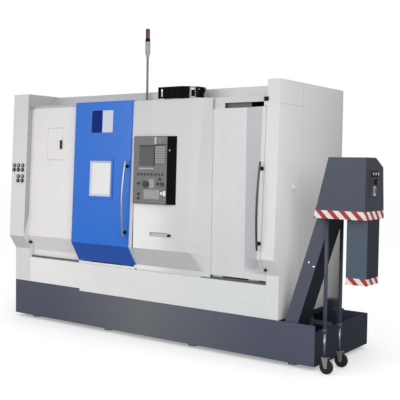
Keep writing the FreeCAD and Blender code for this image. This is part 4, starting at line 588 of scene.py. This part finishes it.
# ---------------- control console
face_low, face_high = span("console_body")
screen_low, screen_high = span("console_screen")
start_low, start_high = span("cycle_start")
CHEEK = 84.0
FACE_MARGIN = 4.0
FACE_PROUD = 1.5
BEZEL = 13.0
BEZEL_FOOT = 0.4
BEZEL_PROUD = 7.0
BEZEL_DEPTH = 6.0

# Fields and plates on the control face: left, low, width, height, proud, depth, corner and material.
KEY_FIELD = (243.0, 350.0, 132.0, 168.0, 2.2, 1.5, 4.0, 0)
TITLE_BAR = (245.0, 520.0, 132.0, 14.0, 2.2, 1.5, 2.0, 1)
WHITE_TAG = (239.0, 535.0, 22.0, 62.0, 2.6, 1.8, 2.0, 1)
SMALL_TAG = (296.0, 548.0, 10.0, 34.0, 2.6, 1.8, 2.0, 0)
DIAL_PLATE = (186.0, 143.0, 56.0, 79.0, 2.2, 1.8, 3.0, 0)
MODE_PLATE = (126.0, 44.0, 178.0, 84.0, 1.9, 1.5, 3.0, 0)


def on_face(*plates):
    """Plates on the control face, each from its lower left corner."""
    def build(bm):
        for x, z, width, height, *rest in plates:
            left, low = face_low.x + x, face_low.z + z
            plate(bm, CONSOLE, left, left + width, low, low + height, *rest)
    return build


def screen_bezel(bm):
    """A raised frame round the screen, darkest at its right and top, where its strips are darker grey as
    painted shade.
    """
    (x0, _, z0), (x1, _, z1) = screen_low, screen_high
    outer = (x0 - BEZEL, x1 + BEZEL, z0 - BEZEL * BEZEL_FOOT, z1 + BEZEL)
    for strip, index in zip(border((x0, x1, z0, z1), outer), (0, 1, 0, 1)):
        plate(bm, CONSOLE, *strip, BEZEL_PROUD, BEZEL_DEPTH, index=index)


CONTROL_FACE = (FACE_MARGIN, FACE_MARGIN, face_high.x - CHEEK - face_low.x - 2 * FACE_MARGIN,
                face_high.z - face_low.z - 2 * FACE_MARGIN, FACE_PROUD, 2.0, 6.0, 0)
piece("console_face", "pulpit", [GREY], on_face(CONTROL_FACE), bevel=0.8)
piece("screen_bezel", "pulpit", [GREY, DARK_KEY], screen_bezel, bevel=1.2)
piece("console_fields", "pulpit", [FIELD, DARK_KEY], on_face(KEY_FIELD, TITLE_BAR), bevel=0.6)
piece("console_plates", "pulpit", [MID_KEY, LIGHT_KEY],
      on_face(WHITE_TAG, SMALL_TAG, DIAL_PLATE, MODE_PLATE), bevel=0.5)

TURN_KNOB = [(0, 13), (4, 13), (5, 10), (15, 9), (17, 6), (17, 0)]
SMALL_KNOBS = ((287.0, 182.0), (67.0, 182.0), (312.0, 225.0), (67.0, 88.0), (67.0, 48.0))
WHITE_KEY = (26.0, 46.0)
WHITE_KEY_GAP = 4.0
WHITE_KEY_PROUD = 8.0
DIAL_SKIRT = 6.0
TICK_OUT = 4.0
CHEEK_LAMP = (412.0, 478.0)


def small_controls(bm):
    """Selector knobs beside the dials."""
    for x, z in SMALL_KNOBS:
        knob(bm, CONSOLE, face_low.x + x, face_low.z + z, FACE_PROUD, TURN_KNOB, 24)


def white_key(bm):
    """A pale rocker key beside the cycle button."""
    middle = centre(start_low, start_high)[2]
    left = start_high.x + WHITE_KEY_GAP
    plate(bm, CONSOLE, left, left + WHITE_KEY[0], middle - WHITE_KEY[1] / 2, middle + WHITE_KEY[1] / 2,
          WHITE_KEY_PROUD, WHITE_KEY_PROUD - 1.0, 4.0)


def dial_skirts(bm):
    """Engraved rings under the handwheel and the override dial, with their ticks."""
    for dial, ticks in (("handwheel", 24), ("override_knob", 12)):
        low, high = span(dial)
        x, _, z = centre(low, high)
        radius = (high.x - low.x) / 2
        knob(bm, CONSOLE, x, z, FACE_PROUD,
             [(0, radius + DIAL_SKIRT), (0.8, radius + DIAL_SKIRT), (0.8, 0)], 40, 0)
        studs(bm, CONSOLE, x, z, radius + TICK_OUT, ticks, 0.8, FACE_PROUD + 1.2, 0.8, 1)


def cheek_lamp(bm):
    knob(bm, CONSOLE, face_low.x + CHEEK_LAMP[0], face_low.z + CHEEK_LAMP[1], 0.0,
         [(0, 9), (2, 9), (3.5, 7), (4.5, 4), (5, 0)], 24)


piece("console_knobs", "pulpit", [DARK_KEY], small_controls)
piece("console_white_keys", "pulpit", [WHITE_PLASTIC], white_key, bevel=1.5)
piece("dial_skirts", "pulpit", [MID_KEY, LIGHT_KEY], dial_skirts)
piece("cheek_lamp", "pulpit", [MID_KEY], cheek_lamp)

# Key caps: dark operator keys in the middle row, pale ones under the screen, mid-grey ones elsewhere.
OPERATOR_ROW = (face_low.z + 240.0, face_low.z + 280.0)
SOFT_ROW = (screen_low.z - 40.0, screen_low.z - 6.0)
repaint("console_keys", DARK_KEY, lambda middle, normal: OPERATOR_ROW[0] < middle.z < OPERATOR_ROW[1])
repaint("console_keys", LIGHT_KEY, lambda middle, normal: (
    SOFT_ROW[0] < middle.z < SOFT_ROW[1] and middle.x < screen_high.x))

# ---------------- pulpit
GRIP_LEFT = 194.0
GRIP_RIGHT = 399.0
GRIP_WALL = 2.0
GRIP_HALF = 19.0
GRIP_DEPTH = 12.0
GRIP_BACK = 1.2
clamp_low, clamp_high = span("clamp_knob")
pulpit_low, pulpit_high = span("pulpit_shell")


def grip_recess_shade(bm):
    """A light grey liner in the pulpit's grip recess, greyer than the enamel round it: painted shade in the
    recess.
    """
    x0, x1 = pulpit_low.x + GRIP_LEFT, pulpit_low.x + GRIP_RIGHT
    middle = centre(clamp_low, clamp_high)[2]
    z0, z1 = middle - GRIP_HALF, middle + GRIP_HALF
    back = PULPIT_FRONT.y(middle) + GRIP_DEPTH
    front = PULPIT_FRONT.y(middle) + 1.5
    add_box(bm, (x0, back, z0), (x1, back + GRIP_BACK, z1))
    for left, right, low, high in ((x0, x1, z0, z0 + GRIP_WALL), (x0, x1, z1 - GRIP_WALL, z1),
                                   (x0, x0 + GRIP_WALL, z0, z1), (x1 - GRIP_WALL, x1, z0, z1)):
        add_box(bm, (left, front, low), (right, back, high))


piece("grip_recess_shade", "pulpit", [LIGHT_KEY], grip_recess_shade)

# ---------------- doors and panels
window_low, window_high = span("window_glass")
window_middle = centre(window_low, window_high)[0]
BADGE_RISE = 600.0
BADGE_HEIGHT = 208.0
BADGE_GAP = 6.0
BADGE_INSET = 3.0
GASKET = 20.0
GASKET_RIM = 9.0
GASKET_FOOT = 0.5
BEAD = 22.0
BEAD_PROUD = 6.6
BEAD_DEPTH = 6.2
WINDOW_LAP = 0.5
seen_x0, seen_x1 = window_low.x + WINDOW_LAP, window_high.x - WINDOW_LAP
seen_z0, seen_z1 = window_low.z + WINDOW_LAP, window_high.z - WINDOW_LAP


def bare_plates(bm):
    """Two bare plates over the window."""
    low = window_low.z + BADGE_RISE
    for x0, x1, corner, index in ((window_low.x + BADGE_INSET, window_middle - BADGE_GAP / 2, 10.0, 0),
                                  (window_middle + BADGE_GAP / 2, window_high.x - BADGE_INSET, 6.0, 1)):
        plate(bm, FRONT, x0, x1, low, low + BADGE_HEIGHT, 2.0, 2.0, corner, index)


def window_gasket(bm):
    """The pale gasket round the pane, sloping from the frame's edge down to the glass."""
    sunk = window_low.y - FRONT.y(seen_z0)
    edge, foot = (
        [bm.verts.new((x, FRONT.y(z, proud - sunk), z))
         for x, z in rounded(seen_x0 + width, seen_x1 - width, seen_z0 + width, seen_z1 - width)]
        for width, proud in ((0.0, GASKET_RIM), (GASKET, GASKET_FOOT)))
    add_walls(bm, edge, foot)


def window_bead(bm):
    """The blue bead that covers the flange of the window's frame."""
    for strip in border((seen_x0, seen_x1, seen_z0, seen_z1),
                        (seen_x0 - BEAD, seen_x1 + BEAD, seen_z0 - BEAD, seen_z1 + BEAD)):
        plate(bm, FRONT, *strip, BEAD_PROUD, BEAD_DEPTH)


piece("bare_plates", "blue_door", [NAVY, PALE_PLATE], bare_plates, bevel=0.6)
piece("window_gasket", "blue_door", [PALE_PLATE], window_gasket)
piece("window_bead", "blue_door", [BLUE], window_bead, bevel=0.5)

latch_low, latch_high = span("access_door")
LATCH_WIDTH = 22.0
LATCH_HEIGHT = 86.0
LATCH_PROUD = 1.0
LATCH_DEPTH = 8.0
LATCH_INSET = 17.0
LATCH_RISE = 152.0
LOCK_SHARE = 0.78


def access_latch(bm):
    """A black paddle latch with its turned lock."""
    x = latch_high.x - LATCH_INSET
    y = latch_low.y
    low = latch_low.z + LATCH_RISE - LATCH_HEIGHT / 2
    add_box(bm, (x - LATCH_WIDTH / 2, y - LATCH_PROUD, low),
            (x + LATCH_WIDTH / 2, y + LATCH_DEPTH, low + LATCH_HEIGHT))
    lock = (x, y - 0.5, low + LATCH_HEIGHT * LOCK_SHARE)
    add_lathe(bm, lock, (0, -1, 0), [(0, 8), (2, 8), (3, 6), (3, 0)], 24)


piece("access_latch", "access_door", [BLACK], access_latch, bevel=1.5)

# ---------------- seals and skirts of the sliding parts
right_door_high = span("right_door")[1]
apron_top = span("front_apron")[1].z
FRONT_BEND = FRONT.bend.z
FRONT_FOOT = 721.0
FOOT_Y = 2.0
PULPIT_FLANK = 121.0
SKIRT_CLEAR = 1.0
SKIRT = 3.0
LIP_REACH = 3.8
LIP_FRONT = 5.0
LIP_BACK = 9.0
SEAL_INSET = 3.0
SEAL = 5.0
SEAL_RISE = 24.0
skirt_low = apron_top + SKIRT_CLEAR


def pulpit_lip(bm):
    """White brush lips on the pulpit's two upright edges, and a skirt under it down to the apron."""
    lip = pulpit_low.x - LIP_REACH
    for z0, z1 in ((FRONT_FOOT, FRONT_BEND - 8.0), (FRONT_BEND - 8.0, pulpit_high.z - 6.0)):
        y0 = PULPIT_FRONT.y(z0) if z0 > FRONT_FOOT else FOOT_Y
        y1 = PULPIT_FRONT.y(z1)
        ring = [(lip, y0 + LIP_FRONT, z0), (lip, y1 + LIP_FRONT, z1), (lip, y1 + LIP_BACK, z1),
                (lip, y0 + LIP_BACK, z0)]
        add_prism(bm, ring, (LIP_REACH + 0.5, 0, 0))
    x0, x1, back = pulpit_low.x + 2.0, pulpit_high.x - 2.0, pulpit_high.y
    add_box(bm, (pulpit_high.x - 6.0, back - 2.0, pulpit_low.z + 20.0),
            (pulpit_high.x, back + 5.0, right_door_high.z - 10.0))
    corner = pulpit_high.x - PULPIT_FLANK
    ring = [(x0, 0.5), (corner, 0.5), (x1, back - 1.0), (x1, back), (corner, 0.5 + SKIRT), (x0, 0.5 + SKIRT)]
    add_prism(bm, [(x, y, skirt_low) for x, y in ring], (0, 0, pulpit_low.z + 0.5 - skirt_low))


def door_skirt(door, front, inset, trim=None):
    """A thin skirt under a sliding door and its edge trim, in front of the rail."""
    low, high = span(door)

    def build(bm):
        add_box(bm, (low.x + inset, front, skirt_low), (high.x - inset, front + SKIRT, low.z + 0.5))
        if trim:
            edge_low, edge_high = span(trim)
            add_box(bm, (high.x - inset, front, skirt_low), (edge_high.x, front + SKIRT, edge_low.z + 0.5))
    return build


def column_seal(bm):
    """The white seal between the right column and the closed door."""
    x0, x1 = right_door_high.x + 0.6, column_edge - 0.2
    top = right_door_high.z
    path = [(SEAL_INSET, apron_top + SEAL_RISE), (SEAL_INSET, FRONT_FOOT),
            (FRONT.bend.y + SEAL_INSET, FRONT_BEND), (FRONT.y(top) + SEAL_INSET, top)]
    ring = [(x0, y, z) for y, z in path] + [(x0, y + SEAL, z) for y, z in path[::-1]]
    add_prism(bm, ring, (x1 - x0, 0, 0))


STOP_LEFT = 3022.0
STOP_WIDTH = 40.0
STOP_LOW = 2133.0
STOP_HIGH = 2167.0


def stop_block(bm):
    """The black stop at the upper left corner of the right column, on its white tab."""
    plate(bm, FRONT, STOP_LEFT, STOP_LEFT + STOP_WIDTH, STOP_LOW, STOP_HIGH, 6.0, 8.0, 4.0, 0)
    plate(bm, FRONT, STOP_LEFT - 2.0, column_edge + 0.5, right_door_high.z + 2.0, STOP_HIGH,
          -1.5, 4.0, 0.0, 1)


piece("pulpit_lip", "pulpit", [WHITE_BRIGHT], pulpit_lip)
piece("blue_door_skirt", "blue_door", [WHITE], door_skirt("blue_door", 16.5, 4.0, "door_trim"))
piece("right_door_skirt", "right_door", [RAIL], door_skirt("right_door", 18.0, 6.0))
piece("column_seal", "machine", [COLUMN], column_seal)
piece("stop_block", "machine", [BLACK, COLUMN], stop_block)

# ---------------- pull handles
BAR_RADIUS = 9.0
BAR_END = 0.75
POST_INSET = 57.0
POST_RADIUS = 8.0
FOOT_RADIUS = 17.0
END_SHARE = 0.5
STATIONS = 48


def bowed_handle(node):
    """A round bar bent into one long arc, on two posts with black sockets."""
    low, high = span(node)
    x, _, middle = centre(low, high)
    half = (high.z - low.z) / 2
    most = FRONT.y(middle) - low.y - BAR_RADIUS

    def reach(z):
        share = (z - middle) / half
        return most * (1.0 - END_SHARE * share * share)

    def build(bm):
        rings = []
        for station in range(STATIONS + 1):
            z = low.z + 2 * half * station / STATIONS
            radius = BAR_RADIUS * (BAR_END if station in (0, STATIONS) else 1.0)
            place = (x, FRONT.y(z, reach(z)), z)
            rings.append(ring_round(place, Vector((1, 0, 0)), Vector((0, 1, 0)), radius, 24))
        add_skin(bm, rings)
        for z in (low.z + POST_INSET, high.z - POST_INSET):
            out = reach(z)
            knob(bm, FRONT, x, z, -1.0,
                 [(0, FOOT_RADIUS), (8, FOOT_RADIUS), (13, FOOT_RADIUS - 3), (17, POST_RADIUS + 3),
                  (out - 8, POST_RADIUS + 2), (out + 1, POST_RADIUS + 2), (out + 1, 0)], 28, 1)
    return build


for door, bar in (("blue_door", HANDLE_BLUE_REFLECTION), ("right_door", HANDLE_DARK)):
    piece(door + "_handle_bar", door, [bar, BLACK], bowed_handle(door + "_handle"),
          replaces=(door + "_handle",))

# ---------------- gauges
gauge_low, gauge_high = span("gauge_cluster")
GAUGE = 21.0
GAUGE_DEPTH = 10.0
REGULATOR_DROP = 44.0
ROW_DROP = 112.0
RIB_PLACE = 17.6
gauge_pitch = (gauge_high.x - gauge_low.x - 2 * GAUGE) / 2


def gauge(bm, x, z):
    """A round gauge with a pale dial and a needle, over a knurled regulator knob."""
    low = z - REGULATOR_DROP
    deep = GAUGE_DEPTH
    case = [(0, GAUGE), (deep - 1, GAUGE), (deep + 1, GAUGE - 2), (deep, GAUGE - 4), (deep, 0)]
    knob(bm, FRONT, x, z, 0.0, case, 36)
    knob(bm, FRONT, x, z, deep, [(0, GAUGE - 5), (0.4, GAUGE - 5), (0.4, 0)], 36, 1)
    needle = [(x + side, FRONT.y(z + rise, deep + 1.0), z + rise)
              for side, rise in ((-1, 0), (1, 0), (9, 10))]
    add_prism(bm, needle, (0, -0.4, 0))
    knob(bm, FRONT, x, low, 0.0, [(0, 18), (15, 18), (17, 16), (18, 12), (18, 0)], 36)
    knob(bm, FRONT, x, low, 18.0, [(0, 11), (0.6, 11), (0.6, 0)], 28, 1)
    studs(bm, FRONT, x, low, RIB_PLACE, 18, 1, 15.0, 13.0)


def gauges(bm):
    """Five gauges: three in the upper row and two in the lower one."""
    for column, row in ((0, 0), (1, 0), (2, 0), (1, 1), (2, 1)):
        gauge(bm, gauge_low.x + GAUGE + column * gauge_pitch, gauge_high.z - GAUGE - row * ROW_DROP)


piece("gauges", "machine", [BLACK, MID_KEY], gauges, replaces=("gauge_cluster",))

# ---------------- conveyor
hood_low, hood_high = span("conveyor_hood")
stop_low, stop_high = span("conveyor_stop")
chute_low, chute_high = span("conveyor_chute")
HOOD_BAND = 62.0
CHUTE_BAND = 51.5
BAND_PROUD = 1.0
HOOD_LEAN_X = 116.0 / 468.0
HOOD_LEAN_Y = 32.0 / 395.0
HOOD_LIP = 20.0


def band(low, right, high, z0, z1, lean_x=0.0, lean_y=0.0):
    """Painted bands round the foot of a shell, whose left and rear faces may lean inwards."""
    x0, x1, y0, y1 = low.x - BAND_PROUD, right + BAND_PROUD, low.y - BAND_PROUD, high.y + BAND_PROUD

    def build(bm):
        lower = [bm.verts.new((x, y, z0)) for x, y in rounded(x0, x1, y0, y1)]
        upper = [bm.verts.new((x, y, z1)) for x, y in rounded(x0 + lean_x, x1, y0, y1 - lean_y)]
        add_walls(bm, lower, upper)
    return build


piece("hood_band", "machine", [HAZARD],
      band(hood_low, hood_high.x - HOOD_LIP, hood_high, hood_low.z - 1.0, hood_low.z + HOOD_BAND,
           HOOD_BAND * HOOD_LEAN_X, HOOD_BAND * HOOD_LEAN_Y))
piece("chute_band", "machine", [HAZARD],
      band(chute_low, chute_high.x, chute_high, chute_low.z - 0.5, chute_low.z + CHUTE_BAND))

LAMP_PITCH = 46.0
LAMP_RISE = 345.0
LAMP = 14.0
SWITCH_RISE = 223.0
SWITCH = 18.0
HOOD_FACE = 422.0
HOOD_PANEL = 6.0
PANEL_MIDDLE = 156.0
panel_face = hood_low.x + HOOD_FACE + HOOD_PANEL
panel_middle = hood_low.y + PANEL_MIDDLE
# The plates behind the lamps and the switch: low and high over the hood's foot, half width and material.
PANEL_PLATES = ((LAMP_RISE - 26, LAMP_RISE + 26, 68, 1), (SWITCH_RISE - 44, SWITCH_RISE + 30, 26, 2))


def hood_controls(bm):
    """Three pale push buttons, the collar of the stop button and a pale selector switch."""
    def turn(out, y, z, profile, steps, index):
        add_lathe(bm, (panel_face - out, y, z), (1, 0, 0), profile, steps, index)

    for low, high, half, index in PANEL_PLATES:
        add_box(bm, (panel_face - 0.5, panel_middle - half, hood_low.z + low),
                (panel_face + 1.0, panel_middle + half, hood_low.z + high), index)
    for step in (-1, 0, 1):
        y, z = panel_middle + step * LAMP_PITCH, hood_low.z + LAMP_RISE
        turn(1, y, z, [(0, LAMP + 0.5), (5, LAMP + 0.5), (6, LAMP - 2), (6, 0)], 28, 1)
        turn(1, y, z, [(6, LAMP - 2.5), (10, LAMP - 2.5), (11, LAMP - 5), (11, 0)], 28, 0)
    z = hood_low.z + SWITCH_RISE
    turn(1, panel_middle, z, [(0, SWITCH + 0.5), (9, SWITCH + 0.5), (10, SWITCH - 2), (15.5, SWITCH - 3),
                              (15.5, 0)], 28, 2)
    add_box(bm, (panel_face + 14.0, panel_middle - 3.0, z - 14.0),
            (panel_face + 17.5, panel_middle + 3.0, z + 14.0), 1)
    _, stop_y, stop_z = centre(stop_low, stop_high)
    turn(0.5, stop_y, stop_z, [(0, 24), (2.5, 24), (3.2, 22), (3.2, 6)], 32, 1)


leg_low, leg_high = span("conveyor_legs")
leg_x = centre(leg_low, leg_high)[0]
LEG = 15.0
LOWER_LEG = 10.0
LEG_STEP = 193.0
LEG_COLLAR = 30.0


def telescopic_legs(bm):
    """Painted upper tubes with clamp collars over plated lower tubes."""
    step = leg_low.z + LEG_STEP
    top = step + LEG_COLLAR
    for y in (leg_low.y + LEG, leg_high.y - LEG):
        for profile, index in (([(step, LEG), (leg_high.z, LEG)], 0),
                               ([(leg_low.z, LOWER_LEG), (step + 1, LOWER_LEG)], 1),
                               ([(step, LEG - 1), (step, LEG + 1.5), (top, LEG + 1.5), (top, LEG - 1)], 0)):
            add_lathe(bm, (leg_x, y, 0), (0, 0, 1), profile, 36, index)
        add_lathe(bm, (leg_x, y - LEG, step + LEG_COLLAR / 2), (0, -1, 0), screw_head(5.0, 4.0), 20, 1)


piece("hood_controls", "machine", [PINK_LENS, BLACK, MID_KEY], hood_controls)
piece("telescopic_legs", "machine", [HOOD, TUBE], telescopic_legs, replaces=("conveyor_legs",))

# Half profiles of a caster wheel: distance in from its side, share of its radius and a length off that.
TYRE = ((1, 0.62, 0), (0, 0.68, 0), (0, 1, 5), (2, 1, 1.5), (6, 1, 0))
CORE = ((2, 0.64, 0), (3, 0.5, 0), (5, 0.34, 0), (1, 0.30, 0), (1, 0, -5.3))


def caster_wheel(node):
    """A rubber tyre with a rounded tread on a pressed core with its bearing cap."""
    low, high = span(node)
    x, _, z = centre(low, high)
    radius = (high.z - low.z) / 2
    width = high.y - low.y

    def build(bm):
        for index, half in enumerate((TYRE, CORE)):
            near = [(deep, radius * share - less) for deep, share, less in half]
            far = [(width - deep, size) for deep, size in near[::-1]]
            add_lathe(bm, (x, low.y, z), (0, 1, 0), near + far, 48, index)
    return build


for side in ("front", "rear"):
    piece(side + "_wheel_tyre", side + "_wheel", [RUBBER, ZINC],
          caster_wheel(side + "_caster_wheel"), replaces=(side + "_caster_wheel",))

TROUGH_SCREWS = ((3429.0, 855.0), (3471.0, 823.0))
TROUGH_SCREW = 12.0


def trough_screws(bm):
    """Two plated screws with washers on the trough's front side."""
    y = span("conveyor_frame")[0].y
    for x, z in TROUGH_SCREWS:
        add_lathe(bm, (x, y, z), (0, -1, 0), screw_head(TROUGH_SCREW, 6.0), 24)


piece("trough_screws", "machine", [CHROME], trough_screws)

# ---------------- signal lamp
tower_low, tower_high = span("signal_tower")
lens_low, lens_high = span("signal_lens")
tower_x, tower_y, _ = centre(tower_low, tower_high)
LAMP_TAPER = 40.0
LAMP_RING = 29.0
LAMP_BODY = 102.0
LAMP_WALL = 0.80
POLE_RADIUS = 10.5
RIBS = 36
RIB_DEPTH = 0.03
DOME = ((0.0, 1.0), (0.04, 1.0), (0.88, 1.0), (0.95, 0.93), (1.0, 0.72))
tower_radius = (tower_high.x - tower_low.x) / 2 * LAMP_WALL


def lamp_tower(bm):
    """A grey pole on a dark flange, a tapered pale body and a dark ring under the lens."""
    foot, top, wall, pole = tower_low.z, tower_high.z, tower_radius, POLE_RADIUS
    ring = top - LAMP_RING
    body = ring - LAMP_BODY
    taper = body - LAMP_TAPER
    for profile, steps, index in (
            ([(foot, 26), (foot + 8, 26), (foot + 10, 22), (foot + 16, pole + 3), (foot + 30, pole + 2),
              (foot + 30, 4)], 36, 2),
            ([(foot, pole), (taper + 4, pole)], 28, 0),
            ([(taper - 14, pole + 1), (taper, pole + 4), (body - 6, wall - 2), (body, wall),
              (ring - 34, wall), (ring - 32, wall - 1.5), (ring - 30, wall), (ring, wall)], 40, 1),
            ([(ring, wall - 2), (top - 2, wall - 2), (top, wall - 4)], 40, 2)):
        add_lathe(bm, (tower_x, tower_y, 0), (0, 0, 1), profile, steps, index)


def ribbed_lens(bm):
    """The red dome with upright ribs inside its wall."""
    radius = (lens_high.x - lens_low.x) / 2 * LAMP_WALL
    rings = []
    for share, size in DOME:
        z = lens_low.z + (lens_high.z - lens_low.z) * share
        ring = []
        for step, (cos, sin) in enumerate(round_steps(2 * RIBS)):
            rib = 1.0 - (RIB_DEPTH if step % 2 and share < 0.9 else 0.0)
            ring.append(Vector((tower_x + radius * size * rib * cos, tower_y + radius * size * rib * sin, z)))
        rings.append(ring)
    add_skin(bm, rings)


piece("lamp_tower", "machine", [POLE, LAMP_GREY, BLACK], lamp_tower,
      replaces=("signal_tower",))
piece("lamp_lens", "machine", [LENS], ribbed_lens, replaces=("signal_lens",))

# ---------------- right side wall and cabinet
SIDE_KNOB_PLACE = (214.0, 1431.0)
SIDE_KNOB = 20.0
SIDE_KNOB_SUNK = 14.0


def side_knob(bm):
    """The white lock knob on the right side wall."""
    add_lathe(bm, (span("right_housing")[1].x - SIDE_KNOB_SUNK, *SIDE_KNOB_PLACE), (1, 0, 0),
              [(0, SIDE_KNOB + 2), (2, SIDE_KNOB + 2), (3, SIDE_KNOB), (9, SIDE_KNOB), (12, SIDE_KNOB - 3),
               (13.6, SIDE_KNOB - 8), (14.3, 0)], 32)


door_low, door_high = span("cabinet_door")
CABINET_DOOR = 24.0
LOUVRES = 9
LOUVRE_PITCH = 26.0
LOUVRE_WIDTH = 240.0
LOUVRE_HEIGHT = 14.0
LOUVRE_PROUD = 6.0
LOUVRE_MARGIN = 120.0
LOUVRE_RIGHT = 260.0
LOUVRE_LEFT = 270.0


def cabinet_louvres(bm):
    """Pressed louvres near the foot and the top of the cabinet's door."""
    y = door_low.y + CABINET_DOOR - 0.5
    for base in (door_low.z + LOUVRE_MARGIN, door_high.z - LOUVRE_MARGIN - LOUVRES * LOUVRE_PITCH):
        for middle in (door_low.x + LOUVRE_RIGHT, door_high.x - LOUVRE_LEFT):
            x = middle - LOUVRE_WIDTH / 2
            for index in range(LOUVRES):
                z = base + index * LOUVRE_PITCH
                add_prism(bm, [(x, y, z), (x, y, z + LOUVRE_HEIGHT), (x, y + LOUVRE_PROUD, z)],
                          (LOUVRE_WIDTH, 0, 0))


piece("side_knob", "machine", [WHITE_PLASTIC], side_knob)
piece("cabinet_louvres", "cabinet_door", [WHITE], cabinet_louvres)

# ---------------- floor, light and camera
FLOOR_SIZE = 60.0
FLOOR_GREY = 0.90
FLOOR_BOUNCE = 0.45
FLOOR_SEEN = 0.31
WORLD_LIGHT = 0.745


def floor_material():
    """A pale floor, white where the camera sees it lit, that throws less light up at the machine."""
    shader = Shader("floor", grey(FLOOR_GREY), 0.8, Specular_IOR_Level=0.1, Emission_Color=grey(1.0))
    seen = shader.node("ShaderNodeLightPath").outputs["Is Camera Ray"]
    shader.colour = shader.mix(seen, grey(FLOOR_BOUNCE), grey(FLOOR_GREY))
    shader.vary(0.6, 0.01)
    shader.drive(shader.math("MULTIPLY", seen, FLOOR_SEEN), "Emission Strength")
    return shader.bump(40.0, 0.0003, 0.2).done()


MIDDLE = (tank_low + tank_high) / 2
bpy.ops.mesh.primitive_plane_add(size=FLOOR_SIZE, location=at(MIDDLE.x, MIDDLE.y, -0.5))
floor = bpy.context.object
floor.name = "floor"
floor.data.materials.append(floor_material())

world = bpy.data.worlds.new("studio")
bpy.context.scene.world = world
world.use_nodes = True
tree = world.node_tree
background = tree.nodes["Background"]
background.inputs["Color"].default_value = grey(1.0)
path = add_node(tree, "ShaderNodeLightPath").outputs
seen = add_node(tree, "ShaderNodeMath", (0, path["Is Camera Ray"]), (1, path["Is Transmission Ray"]),
                operation="MAXIMUM")
strength = add_node(tree, "ShaderNodeMapRange", ("To Min", WORLD_LIGHT), ("To Max", 1.0),
                    ("Value", seen.outputs[0]))
tree.links.new(strength.outputs["Result"], background.inputs["Strength"])


def area_light(name, place, target, size, power):
    """A soft box, placed in metres from the middle of the plinth's footprint."""
    data = bpy.data.lights.new(name, "AREA")
    data.shape = "RECTANGLE"
    data.size, data.size_y = size
    data.energy = power
    obj = bpy.data.objects.new(name, data)
    bpy.context.scene.collection.objects.link(obj)
    obj.location = at(MIDDLE.x, MIDDLE.y, 0.0) + Vector(place)
    direction = Vector(target) - Vector(place)
    obj.rotation_euler = direction.to_track_quat("-Z", "Y").to_euler()


area_light("key_light", (-3.2, -8.5, 2.6), (-0.2, 0.0, 0.9), (6.0, 2.5), 142.0)
area_light("fill_light", (7.0, -5.0, 4.0), (0.8, 0.0, 1.2), (4.0, 4.0), 186.0)

# The camera fitted to the photograph: its place in millimetres, its turn in radians and its focal length in
# pixels of a picture 400 pixels wide.
CAMERA_PLACE = (6189.34, -5300.06, 1608.95)
YAW, PITCH, ROLL = 0.624, -0.0462, 0.0143
SENSOR = 36.0
PHOTO_FOCAL = 756.48
PHOTO_WIDTH = 400.0
forward = Vector((-math.sin(YAW) * math.cos(PITCH), math.cos(YAW) * math.cos(PITCH), math.sin(PITCH)))
right = Vector((math.cos(YAW), math.sin(YAW), 0.0))
up = right.cross(forward)
right_rolled = right * math.cos(ROLL) + up * math.sin(ROLL)
up_rolled = up * math.cos(ROLL) - right * math.sin(ROLL)
camera_data = bpy.data.cameras.new("camera")
camera_data.sensor_width = SENSOR
camera_data.lens = PHOTO_FOCAL / PHOTO_WIDTH * SENSOR
camera_data.clip_end = 200.0
camera = bpy.data.objects.new("camera", camera_data)
bpy.context.scene.collection.objects.link(camera)
turn = Matrix((right_rolled, up_rolled, -forward)).transposed().to_4x4()
camera.matrix_world = Matrix.Translation(at(*CAMERA_PLACE)) @ turn
bpy.context.scene.camera = camera
bpy.context.scene.view_settings.view_transform = "Standard"
